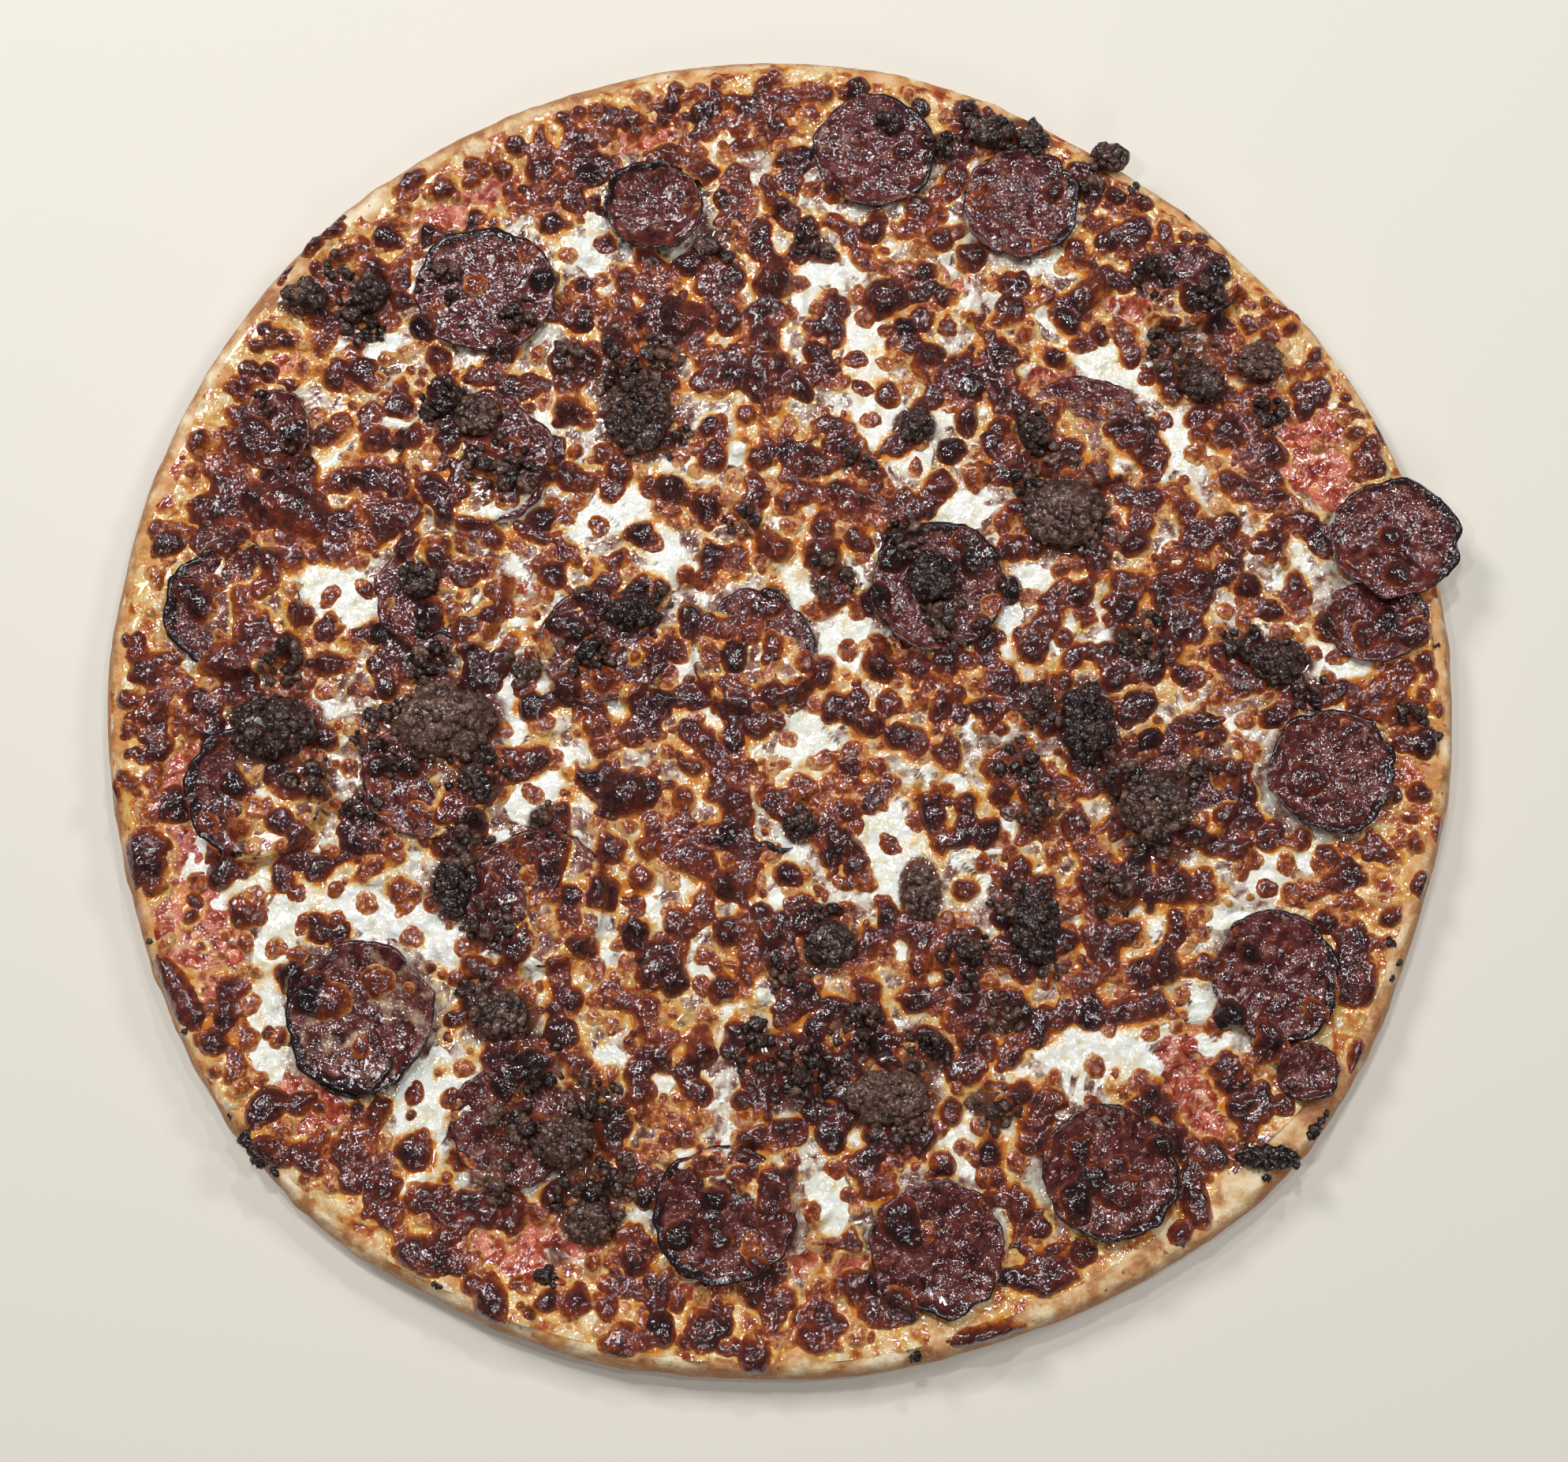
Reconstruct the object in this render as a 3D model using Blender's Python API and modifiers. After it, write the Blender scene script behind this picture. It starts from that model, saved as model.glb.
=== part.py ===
"""A whole meat pizza, 350 mm across: dough, sauce, cheese, meat slices and crumbled meat.

Sizes and places are millimetres and directions are degrees, counted from +X towards +Y.
The origin is the middle of the flat underside, and +Z is up. Every piece is shaped in
millimetres where it lies, and turned into metres at the end.
"""
import math
import random

import bmesh
import bpy
import numpy as np
from mathutils import Matrix, Vector, noise
from mathutils.bvhtree import BVHTree

MM = 0.001
SEED = 11

# Whole pizza
RADIUS = 175.0           # half its width
DEPTH_TO_WIDTH = 0.990   # how much shorter it is along Y
SECTORS = 60             # facets round the dough and the layers on it
GAP = 0.3                # left between one piece and the next

# Dough: its section runs from the middle of the top over the rim and back below
BED = 6.0
BED_RADIUS = 150.0
CREST = 12.4
CREST_RADIUS = 169.5
DOUGH_TOP = ((0.0, BED), (BED_RADIUS, BED), (156.0, 7.3), (166.0, 11.6), (CREST_RADIUS, CREST))
DOUGH_SIDE = ((172.8, 11.0), (174.6, 8.2), (RADIUS, 5.2), (174.3, 2.6), (172.0, 0.7), (168.5, 0.0),
              (0.0, 0.0))
RIM_RELIEF = 0.45        # how far the rim's surface wanders in and out
RIM_RELIEF_LENGTH = 21.0

# Where the outline bulges or draws in: direction, spread, amount
OUTLINE = ((50, 20, -3.5), (90, 16, 1.8), (130, 28, 3.0), (226, 15, 4.5), (250, 12, 2.0),
           (315, 12, 3.5), (342, 12, -1.0))

# Sauce and cheese: thickness by radius, and where each one ends
SAUCE_THICK = ((0.0, 1.5), (BED_RADIUS, 1.5), (158.0, 0.8), (168.0, 0.4))
SAUCE_EDGE = 164.0
SAUCE_BAND = 150.0       # outside this radius the sauce is stretched to its edge
SAUCE_EDGE_SWELL = ((45, 18, 1.0), (130, 25, -3.0), (275, 28, -6.0), (318, 14, -6.0))
CHEESE_THICK = ((0.0, 2.3), (140.0, 2.3), (164.0, 1.1))
CHEESE_EDGE = 158.0
CHEESE_BAND = 118.0
CHEESE_INSIDE_SAUCE = 3.0
CHEESE_BARE = ((200, 14, -13), (121, 7, -8), (104, 6, -7), (25, 9, -20), (250, 8, -8), (222, 5, -6),
               (275, 6, -8), (315, 6, -9), (351, 5, -5))
CHEESE_WAVE = 0.45
CHEESE_WAVE_LENGTH = 46.0
EDGE_WOBBLE = 1.2
LAYER_BEVEL = 1.6        # how far a layer's upper edge stands back from its lower one

# Slices of salami: x, y, half width, half depth, turn, how far the rim curls up
SLICES = (
    (-105, -84.5, 20, 20, 0, 2.4),
    (-142, 20, 18.5, 18.5, 0, 1.6),
    (-134, -28, 18, 18.5, 0, 1.8),
    (-79, 107, 19.5, 18, 10, 0.6),
    (-80, 61, 20, 19, 0, 0.6),
    (-34, 130, 15, 12, 35, 4.0),
    (25, 146, 17, 16.5, 0, 0.8),
    (64, 131, 16, 16, 0, 0.8),
    (108, 108, 13, 12, 0, 0.5),
    (154, 17, 14, 11, -20, 0.3),
    (159, 38, 18.5, 15, -35, 0.8),
    (140, -23, 17, 16.5, 0, 1.8),
    (124, -75, 16, 18, 15, 1.2),
    (81, -123, 18, 17.5, 0, 1.8),
    (39, -141, 17.5, 17, 20, 0.6),
    (-14, -133, 18, 17.5, 0, 1.5),
    (41, 26, 18.5, 18, 0, 1.6),
    (-7, 9, 17, 17, 0, 0.5),
    (-46, 10, 17, 16, 0, 0.8),
    (-62, -55, 18.5, 18, 0, 0.8),
    (-66, -111, 16.5, 16, 0, 0.5),
    (-88, 24, 17.5, 17, 0, 0.5),
    (80, 68, 17, 16, 0, 0.4),
    (100, -26, 17.5, 17, 0, 0.4),
    (-90, -24, 18, 16.5, 10, 0.3),
    (131, -98, 8.5, 7, -35, 0.4),
    (-133, 68, 9.5, 12, 15, 1.0),
)
SLICE_SECTORS = 14
# Half section of a slice: share of its radius, height
SLICE_SECTION = ((0.0, 1.7), (0.62, 1.7), (0.93, 1.8), (1.0, 0.5), (0.62, 0.0), (0.0, 0.0))
SLICE_RAG = 0.05         # unevenness of its outline, as a share of the radius
SLICE_CURL_FROM = 0.45   # share of the radius where the rim begins to curl
SLICE_REACH = 5.0        # a slice drapes over what is this near to each of its corners

# Clumps of crumbled meat: x, y, half width, half depth, turn, height, coarse or fine
FINE, COARSE = 2, 1
CLUMPS = (
    (-127, 105, 7.5, 5, 10, 5.0, COARSE),
    (-109, 107, 7, 6.5, 0, 6.0, COARSE),
    (-80, 72, 7, 6.5, 0, 4.5, COARSE),
    (-37, 72, 10, 12, 0, 6.0, FINE),
    (-131, -11, 12.5, 9.5, 15, 7.5, FINE),
    (-86, -9, 14, 11, 20, 7.0, FINE),
    (35, 70, 5.5, 5, 0, 5.0, COARSE),
    (66, 67, 6, 6, 0, 4.5, COARSE),
    (74, 46, 12, 9, 40, 6.0, FINE),
    (112, 81, 6.5, 6.5, 0, 6.0, COARSE),
    (127, 87, 8, 5, -35, 4.5, COARSE),
    (89, 144, 6.5, 4.5, -25, 4.5, COARSE),
    (57, 151, 7, 5.5, 10, 5.0, COARSE),
    (40, 27, 9, 8, 0, 4.5, COARSE),
    (-94, 27, 5.5, 5.5, 0, 3.5, COARSE),
    (-39, 18, 7.5, 6, 0, 4.0, COARSE),
    (78, -9, 7, 13, 20, 5.5, COARSE),
    (5, -36, 5.5, 5, 0, 5.0, COARSE),
    (35, -53, 5.5, 10, 10, 5.0, COARSE),
    (64, -63, 8, 12, 10, 6.0, COARSE),
    (12, -67, 8, 8, 0, 5.0, COARSE),
    (-70, -84, 9, 8, 0, 6.0, COARSE),
    (-53, -115, 9, 8.5, 0, 5.5, COARSE),
    (-47, -134, 7, 6.5, 0, 5.0, COARSE),
    (95, -32, 11, 12, 0, 5.0, COARSE),
    (28, -104, 12, 9, 0, 5.5, COARSE),
    (128, 6, 9, 7, 0, 5.0, COARSE),
    (-83, -52, 6, 10, 0, 4.0, COARSE),
    (120, -119, 11, 4, 15, 3.2, COARSE),
)
CLUMP_ROUGH = 0.34       # how knobbly a clump is
CLUMP_KNOB = 1.9         # how many knobs show across it
CLUMP_SITS_AT = -0.35    # height on the unit ball where a clump is cut flat
CLUMP_REACH = 0.75       # share of its size over which a clump drapes

# Browned blisters and small crumbs baked into the cheese: x, y, half width, half depth, turn, height
BROWNED = (
    (-127, 46, 12, 6, -30, 2.6),
    (-5, 85, 5, 13, 0, 3.0),
    (-40, -28, 7, 6.5, 0, 3.2),
    (-10, -30, 5, 11, -35, 2.8),
    (-2, 110, 6, 5.5, 0, 3.0),
    (28, 106, 6, 5.5, 0, 3.0),
    (-32, 88, 5, 4, 0, 3.6),
    (102, 91, 3, 4, 0, 3.4),
    (-31, -74, 8, 5, 20, 3.0),
    (48, -69, 5, 6, 0, 3.4),
    (85, -53, 6, 5, 0, 3.4),
    (56, -84, 5, 4, 0, 3.2),
    (56, -104, 6, 5, 0, 3.4),
    (5, -98, 7, 8, 0, 3.6),
    (67, -33, 6, 5, 0, 3.4),
    (12, 35, 4.5, 6.5, 10, 3.4),
)
BLISTERS = 96            # more of them, scattered where the cheese is free
BLISTER_SIZE = (3.0, 5.8)
BLISTER_RISE = 0.55      # height against its half width
BLISTER_SINK = 1.3       # how deep a blister's foot goes into the cheese
BLISTER_APART = 1.1
BLISTER_FROM_EDGE = 3.5
BLISTER_TRIES = 6000
# Cheese left white: x, y, radius
WHITE = ((23, 85, 9), (87, 88, 8), (-66, 0, 8), (-118, 28, 9), (-42, 44, 9), (8, -15, 9),
         (30, -40, 8), (-118, -56, 9), (-84, -104, 7), (80, -94, 10), (50, -113, 8), (8, -122, 7))

# Browned lumps on the crest of the bare rim: direction, half length along it, half width, height
RIM_LUMPS = (
    (36, 5, 2.8, 1.8),
    (136, 6.5, 3.2, 2.0),
    (189, 5, 3.2, 2.4),
    (217, 5, 3.2, 2.4),
    (222, 6, 3.2, 3.0),
    (239, 11, 3.2, 2.0),
    (248, 5, 3.2, 2.2),
    (263, 4, 3.2, 2.4),
    (281, 5, 3.0, 2.0),
    (288, 8, 3.0, 2.0),
    (308, 3.5, 3.2, 1.8),
)
RIM_LUMP_RADIUS = 170.0
RIM_LUMP_SINK = 2.0

COLOURS = {              # base colour and roughness
    "dough": ((0.62, 0.40, 0.20, 1.0), 0.62),
    "sauce": ((0.38, 0.07, 0.03, 1.0), 0.40),
    "cheese": ((0.72, 0.46, 0.22, 1.0), 0.35),
    "salami": ((0.15, 0.05, 0.05, 1.0), 0.38),
    "mince": ((0.06, 0.03, 0.025, 1.0), 0.55),
}


def empty_the_scene():
    for ob in list(bpy.data.objects):
        bpy.data.objects.remove(ob, do_unlink=True)


def new_collection(name):
    collection = bpy.data.collections.new(name)
    bpy.context.scene.collection.children.link(collection)
    return collection


def new_material(name):
    colour, roughness = COLOURS[name]
    material = bpy.data.materials.new(name)
    material.use_nodes = True
    shader = material.node_tree.nodes["Principled BSDF"]
    shader.inputs["Base Color"].default_value = colour
    shader.inputs["Roughness"].default_value = roughness
    shader.inputs["Metallic"].default_value = 0.0
    return material


def new_object(name, mesh, collection, material=None):
    ob = bpy.data.objects.new(name, mesh)
    collection.objects.link(ob)
    if material:
        mesh.materials.append(material)
    return ob


def keep_evaluated(ob):
    """Puts what the modifiers make in place of the object's own mesh."""
    bpy.context.view_layer.update()
    made = ob.evaluated_get(bpy.context.evaluated_depsgraph_get())
    mesh = bpy.data.meshes.new_from_object(made)
    mesh.name = ob.name
    ob.modifiers.clear()
    ob.data = mesh


def turned(name, section, sectors, collection, material):
    """A solid turned from (radius, height) points that run from the top's middle to the underside's."""
    mesh = bpy.data.meshes.new(name)
    mesh.from_pydata([(r, 0.0, z) for r, z in section], [(i, i + 1) for i in range(len(section) - 1)], [])
    ob = new_object(name, mesh, collection, material)
    screw = ob.modifiers.new("turn", "SCREW")
    screw.axis = "Z"
    screw.steps = sectors
    screw.render_steps = sectors
    screw.use_merge_vertices = True
    screw.merge_threshold = 0.0001
    screw.use_smooth_shade = True
    keep_evaluated(ob)
    return ob


def on_line(line, x):
    """Height at x on a line of (x, height) points."""
    return float(np.interp(x, [point[0] for point in line], [point[1] for point in line]))


def swell(angle, bumps):
    """Sum at a direction of rounded bumps, each (direction, spread, amount)."""
    total = 0.0
    for direction, spread, amount in bumps:
        away = (angle - direction + 180.0) % 360.0 - 180.0
        total += amount * math.exp(-((away / spread) ** 2))
    return total


def wobble(angle, seed):
    """An even mix of waves round an outline, between about -1 and 1."""
    turn = math.radians(angle)
    return noise.noise(Vector((2.2 * math.cos(turn), 2.2 * math.sin(turn), seed))) * 1.6


def dough_top(u):
    return on_line(DOUGH_TOP, u)


def sauce_top(u):
    return dough_top(u) + GAP + on_line(SAUCE_THICK, u)


def cheese_top(u):
    return sauce_top(u) + GAP + on_line(CHEESE_THICK, u)


def sauce_edge(angle):
    return SAUCE_EDGE + swell(angle, SAUCE_EDGE_SWELL) + EDGE_WOBBLE * 0.5 * wobble(angle, 3.0)


def cheese_edge(angle):
    inner = sauce_edge(angle) - CHEESE_INSIDE_SAUCE - EDGE_WOBBLE
    return inner + swell(angle, CHEESE_BARE) + EDGE_WOBBLE * wobble(angle * 2.0, 8.0)


def stretch(u, angle):
    """How far the pizza's uneven outline moves a place at radius u out or in, as a factor."""
    turn = math.radians(angle)
    oval = 1.0 / math.hypot(math.cos(turn), math.sin(turn) / DEPTH_TO_WIDTH)
    edge = oval + swell(angle, OUTLINE) / RADIUS
    return 1.0 + (edge - 1.0) * (u / RADIUS) ** 2


def polar(point):
    return math.hypot(point.x, point.y), math.degrees(math.atan2(point.y, point.x)) % 360.0


def placed(u, angle, z):
    turn = math.radians(angle)
    r = u * stretch(u, angle)
    return Vector((r * math.cos(turn), r * math.sin(turn), z))


def shape_dough(ob):
    """Gives the turned dough its outline and an uneven rim."""
    for vertex in ob.data.vertices:
        u, angle = polar(vertex.co)
        z = vertex.co.z
        if u > CREST_RADIUS - 1.0 and z > 0.1:
            relief = RIM_RELIEF * noise.noise(vertex.co / RIM_RELIEF_LENGTH) * 2.0
            u += relief
            z += relief * 0.6
        vertex.co = placed(u, angle, z)


def layer(name, edge, radii, top, under, collection, material):
    """A turned layer with a top and an underside that follow functions of the radius."""
    section = [(r, top(r)) for r in radii]
    section.append((edge - LAYER_BEVEL, top(edge - LAYER_BEVEL)))
    section.append((edge, under(edge) + GAP))
    section += [(r, under(r) + GAP) for r in reversed(radii) if r == 0.0 or r > edge - 50.0]
    return turned(name, section, SECTORS, collection, material)


def fit_layer(ob, edge, band, edge_at, under, wave=0.0):
    """Stretches a layer's outer band to its edge at each direction. Heights above what is below stay."""
    for vertex in ob.data.vertices:
        u, angle = polar(vertex.co)
        height = vertex.co.z - under(min(u, edge))
        if u > band:
            u = band + (u - band) * (edge_at(angle) - band) / (edge - band)
        z = under(u) + height
        spot = placed(u, angle, z)
        if height > GAP + 0.5:
            spot.z += wave * noise.noise(Vector((spot.x, spot.y, 0.0)) / CHEESE_WAVE_LENGTH) * 2.0
        vertex.co = spot


class Ground:
    """Everything laid so far, asked for its height at a place."""

    def __init__(self):
        self.trees = []

    def add(self, ob):
        mesh = ob.data
        points = [vertex.co for vertex in mesh.vertices]
        faces = [tuple(face.vertices) for face in mesh.polygons]
        self.trees.append(BVHTree.FromPolygons(points, faces))

    def at(self, x, y):
        """Past the crest of the rim a piece keeps the crest's height."""
        r, angle = polar(Vector((x, y, 0.0)))
        crest = CREST_RADIUS * stretch(CREST_RADIUS, angle)
        pull = min(1.0, crest / max(r, 1.0))
        above = Vector((x * pull, y * pull, 60.0))
        hits = [tree.ray_cast(above, Vector((0.0, 0.0, -1.0)))[0] for tree in self.trees]
        return max(hit.z for hit in hits if hit)

    def near(self, x, y, reach):
        """The highest place within reach."""
        heights = [self.at(x, y)]
        for step in range(8):
            turn = math.tau * step / 8
            heights.append(self.at(x + reach * math.cos(turn), y + reach * math.sin(turn)))
            heights.append(self.at(x + 0.5 * reach * math.cos(turn), y + 0.5 * reach * math.sin(turn)))
        return max(heights)


def lay(ob, ground, x, y, turn, reach):
    """Turns a piece, moves it to its place and drapes it over the highest that is within reach."""
    spin = Matrix.Rotation(math.radians(turn), 4, "Z")
    for vertex in ob.data.vertices:
        spot = spin @ vertex.co + Vector((x, y, 0.0))
        spot.z += ground.near(spot.x, spot.y, reach) + GAP
        vertex.co = spot
    ground.add(ob)


def salami(number, place, ground, collection, material):
    """A thin slice with an uneven outline and a rim that curls up."""
    x, y, across, deep, turn, curl = place
    ob = turned(f"salami_{number:02d}", SLICE_SECTION, SLICE_SECTORS, collection, material)
    for vertex in ob.data.vertices:
        share, angle = polar(vertex.co)
        size = 1.0 + SLICE_RAG * wobble(angle, number * 1.7)
        lift = max(0.0, share - SLICE_CURL_FROM) / (1.0 - SLICE_CURL_FROM)
        uneven = 1.0 + 0.5 * wobble(angle + 90.0, number * 2.9)
        vertex.co.x *= across * size
        vertex.co.y *= deep * size
        vertex.co.z += curl * uneven * lift ** 2
    lay(ob, ground, x, y, turn, SLICE_REACH)
    return ob


def knobbly_ball(name, subdivisions, seed, rough, collection, material=None):
    """A ball of radius 1 with knobs."""
    shape = bmesh.new()
    bmesh.ops.create_icosphere(shape, subdivisions=subdivisions, radius=1.0)
    for vertex in shape.verts:
        spot = vertex.co * CLUMP_KNOB + Vector((seed * 5.3, seed * 2.1, 0.0))
        vertex.co *= 1.0 + rough * noise.noise(spot)
    mesh = bpy.data.meshes.new(name)
    shape.to_mesh(mesh)
    shape.free()
    mesh.shade_smooth()
    return new_object(name, mesh, collection, material)


def clump(number, place, ground, collection, material):
    """A clump of crumbled meat, cut flat where it sits."""
    x, y, across, deep, turn, tall, detail = place
    ob = knobbly_ball(f"mince_{number:02d}", detail, number, CLUMP_ROUGH, collection, material)
    for vertex in ob.data.vertices:
        height = max(vertex.co.z, CLUMP_SITS_AT) - CLUMP_SITS_AT
        vertex.co = Vector((vertex.co.x * across, vertex.co.y * deep, height * tall / (1.0 - CLUMP_SITS_AT)))
    lay(ob, ground, x, y, turn, CLUMP_REACH * max(across, deep) / detail)
    return ob


def lump(name, place, surface, sink, seed, collection):
    """A rounded lump set on a surface, with its foot sunk in it."""
    x, y, across, deep, turn, tall = place
    ob = knobbly_ball(name, COARSE, seed, 0.2, collection)
    spin = Matrix.Rotation(math.radians(turn), 4, "Z")
    base = surface.at(x, y)
    for vertex in ob.data.vertices:
        rise = tall if vertex.co.z > 0.0 else sink
        spot = Vector((vertex.co.x * across, vertex.co.y * deep, vertex.co.z * rise))
        vertex.co = spin @ spot + Vector((x, y, base))
    return ob


def fuse(ob, lumps):
    """Joins every lump of a collection to the object, and removes the lumps."""
    union = ob.modifiers.new("lumps", "BOOLEAN")
    union.operation = "UNION"
    union.operand_type = "COLLECTION"
    union.collection = lumps
    union.solver = "MANIFOLD"
    keep_evaluated(ob)
    for piece in list(lumps.objects):
        bpy.data.objects.remove(piece, do_unlink=True)
    bpy.data.collections.remove(lumps)


def clear_of(x, y, size, others, apart):
    """Whether a round place keeps its distance from others, each (x, y, radius)."""
    return all(math.hypot(x - ox, y - oy) > size + reach + apart for ox, oy, reach in others)


def cheese_lumps():
    """Places of the browned lumps and blisters, clear of the toppings, the white cheese and each other."""
    draw = random.Random(SEED)
    toppings = [(x, y, max(across, deep)) for x, y, across, deep, *rest in SLICES + CLUMPS]
    places = [place for place in BROWNED if clear_of(place[0], place[1], place[3] * 0.9, toppings, 0.6)]
    taken = toppings + [(x, y, max(across, deep)) for x, y, across, deep, *rest in places]
    wanted = len(places) + BLISTERS
    for attempt in range(BLISTER_TRIES):
        if len(places) == wanted:
            break
        angle = draw.uniform(0.0, 360.0)
        u = CHEESE_EDGE * math.sqrt(draw.random())
        size = draw.uniform(*BLISTER_SIZE)
        narrow = size * draw.uniform(0.75, 1.0)
        turn = draw.uniform(0.0, 180.0)
        spot = placed(u, angle, 0.0)
        if u + size > cheese_edge(angle) - BLISTER_FROM_EDGE:
            continue
        if clear_of(spot.x, spot.y, size, WHITE, 0.0) and clear_of(spot.x, spot.y, size, taken, BLISTER_APART):
            taken.append((spot.x, spot.y, size))
            places.append((spot.x, spot.y, size, narrow, turn, size * BLISTER_RISE))
    return places


def rim_lumps():
    """Places of the lumps on the rim, each turned to lie along it."""
    places = []
    for angle, along, across, tall in RIM_LUMPS:
        spot = placed(RIM_LUMP_RADIUS, angle, 0.0)
        places.append((spot.x, spot.y, across, along, angle, tall))
    return places


def fuse_lumps(ob, places, sink):
    """Sets a lump at each place on the object's surface and joins them all to it."""
    surface = Ground()
    surface.add(ob)
    lumps = new_collection("lumps")
    for number, place in enumerate(places):
        lump(f"lump_{number}", place, surface, sink, number, lumps)
    fuse(ob, lumps)


def make_dough(collection):
    ob = turned("dough", DOUGH_TOP + DOUGH_SIDE, SECTORS, collection, new_material("dough"))
    shape_dough(ob)
    return ob


def make_sauce(collection):
    radii = (0.0, BED_RADIUS, 156.0)
    ob = layer("sauce", SAUCE_EDGE, radii, sauce_top, dough_top, collection, new_material("sauce"))
    fit_layer(ob, SAUCE_EDGE, SAUCE_BAND, sauce_edge, dough_top)
    return ob


def make_cheese(collection):
    radii = (0.0, 24.0, 48.0, 72.0, 96.0, 118.0, 138.0, 150.0)
    ob = layer("cheese", CHEESE_EDGE, radii, cheese_top, sauce_top, collection, new_material("cheese"))
    fit_layer(ob, CHEESE_EDGE, CHEESE_BAND, cheese_edge, sauce_top, CHEESE_WAVE)
    return ob


def to_metres(ob, origin):
    """Scales a finished piece, with its own origin where it lies."""
    ob.data.transform(Matrix.Translation(-origin))
    ob.data.transform(Matrix.Diagonal((MM, MM, MM, 1.0)))
    ob.location = origin * MM


def make_pizza():
    empty_the_scene()
    pizza = new_collection("meat_pizza")
    dough = make_dough(pizza)
    sauce = make_sauce(pizza)
    cheese = make_cheese(pizza)
    ground = Ground()
    for ob in (dough, sauce, cheese):
        ground.add(ob)
    salami_material = new_material("salami")
    mince_material = new_material("mince")
    for number, place in enumerate(SLICES, start=1):
        ob = salami(number, place, ground, pizza, salami_material)
        to_metres(ob, Vector((place[0], place[1], BED)))
    for number, place in enumerate(CLUMPS, start=1):
        ob = clump(number, place, ground, pizza, mince_material)
        to_metres(ob, Vector((place[0], place[1], BED)))
    fuse_lumps(dough, rim_lumps(), RIM_LUMP_SINK)
    fuse_lumps(cheese, cheese_lumps(), BLISTER_SINK)
    for ob in (dough, sauce, cheese):
        to_metres(ob, Vector((0.0, 0.0, 0.0)))


make_pizza()
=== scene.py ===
"""The looks of a whole baked meat pizza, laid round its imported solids.

Helpers work in millimetres, with the origin under the middle of the pizza, and a piece
turns into metres when its mesh is made. Directions are degrees from +X towards +Y.
"""
import math

import bmesh
import bpy
import numpy as np
from mathutils import Matrix, Vector
from mathutils.bvhtree import BVHTree


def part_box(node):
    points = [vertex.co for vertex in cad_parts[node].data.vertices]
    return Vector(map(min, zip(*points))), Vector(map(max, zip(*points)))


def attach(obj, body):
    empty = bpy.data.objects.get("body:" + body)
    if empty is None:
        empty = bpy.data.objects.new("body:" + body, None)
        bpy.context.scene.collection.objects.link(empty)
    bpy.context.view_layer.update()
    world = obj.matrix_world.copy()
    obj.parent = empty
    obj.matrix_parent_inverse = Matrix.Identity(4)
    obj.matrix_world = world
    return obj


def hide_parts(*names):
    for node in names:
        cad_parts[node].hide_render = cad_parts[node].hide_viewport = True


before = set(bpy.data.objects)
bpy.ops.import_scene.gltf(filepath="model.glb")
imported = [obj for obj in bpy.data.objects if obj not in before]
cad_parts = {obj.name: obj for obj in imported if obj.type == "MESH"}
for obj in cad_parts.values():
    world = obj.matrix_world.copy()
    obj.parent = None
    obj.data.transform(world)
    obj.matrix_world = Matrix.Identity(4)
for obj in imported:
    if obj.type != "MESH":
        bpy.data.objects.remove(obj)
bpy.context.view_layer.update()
MM = 0.001
SEED = 7


# Noise

def scrambled(ix, iy, iz, seed):
    """A steady random whole number for each cell of a lattice."""
    h = (ix * 73856093) ^ (iy * 19349663) ^ (iz * 83492791) ^ (seed * 265443576)
    h = h & 0xFFFFFFFF
    h = ((h ^ (h >> 16)) * 0x45D9F3B) & 0xFFFFFFFF
    h = ((h ^ (h >> 16)) * 0x45D9F3B) & 0xFFFFFFFF
    return h ^ (h >> 16)


def plane_noise(x, y, seed):
    """Smooth noise of about -1 to 1 over a plane, its hills 1 apart."""
    cx = np.floor(x).astype(np.int64)
    cy = np.floor(y).astype(np.int64)
    fx = x - cx
    fy = y - cy
    ex = fx * fx * fx * (fx * (fx * 6.0 - 15.0) + 10.0)
    ey = fy * fy * fy * (fy * (fy * 6.0 - 15.0) + 10.0)
    total = 0.0
    for dx in (0, 1):
        for dy in (0, 1):
            turn = (scrambled(cx + dx, cy + dy, 0 * cx, seed) & 1023) * (math.tau / 1024.0)
            weight = (ex if dx else 1.0 - ex) * (ey if dy else 1.0 - ey)
            total = total + weight * (np.cos(turn) * (fx - dx) + np.sin(turn) * (fy - dy))
    return total * 1.5


def waves(x, y, size, seed, octaves=1):
    """Smooth noise of about -1 to 1 over a plane, its hills size millimetres apart."""
    total = np.zeros(np.shape(x))
    weight = 1.0
    for octave in range(octaves):
        total = total + weight * plane_noise(x / size, y / size, seed + 31 * octave)
        weight *= 0.5
        size *= 0.5
    return total


def solid_noise(points, seed):
    """Smooth noise of about -1 to 1 in space. points are in hill sizes."""
    cell = np.floor(points).astype(np.int64)
    inside = points - cell
    ease = inside * inside * inside * (inside * (inside * 6.0 - 15.0) + 10.0)
    total = np.zeros(len(points))
    for corner in range(8):
        step = np.array([corner & 1, corner >> 1 & 1, corner >> 2 & 1])
        at = cell + step
        mixed = scrambled(at[:, 0], at[:, 1], at[:, 2], seed)
        turn = (mixed & 1023) * (math.tau / 1024.0)
        up = ((mixed >> 10) & 1023) / 511.5 - 1.0
        flat = np.sqrt(np.maximum(0.0, 1.0 - up * up))
        away = inside - step
        pull = flat * np.cos(turn) * away[:, 0] + flat * np.sin(turn) * away[:, 1] + up * away[:, 2]
        weight = np.where(step == 1, ease, 1.0 - ease).prod(axis=1)
        total += weight * pull
    return total * 1.6


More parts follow.
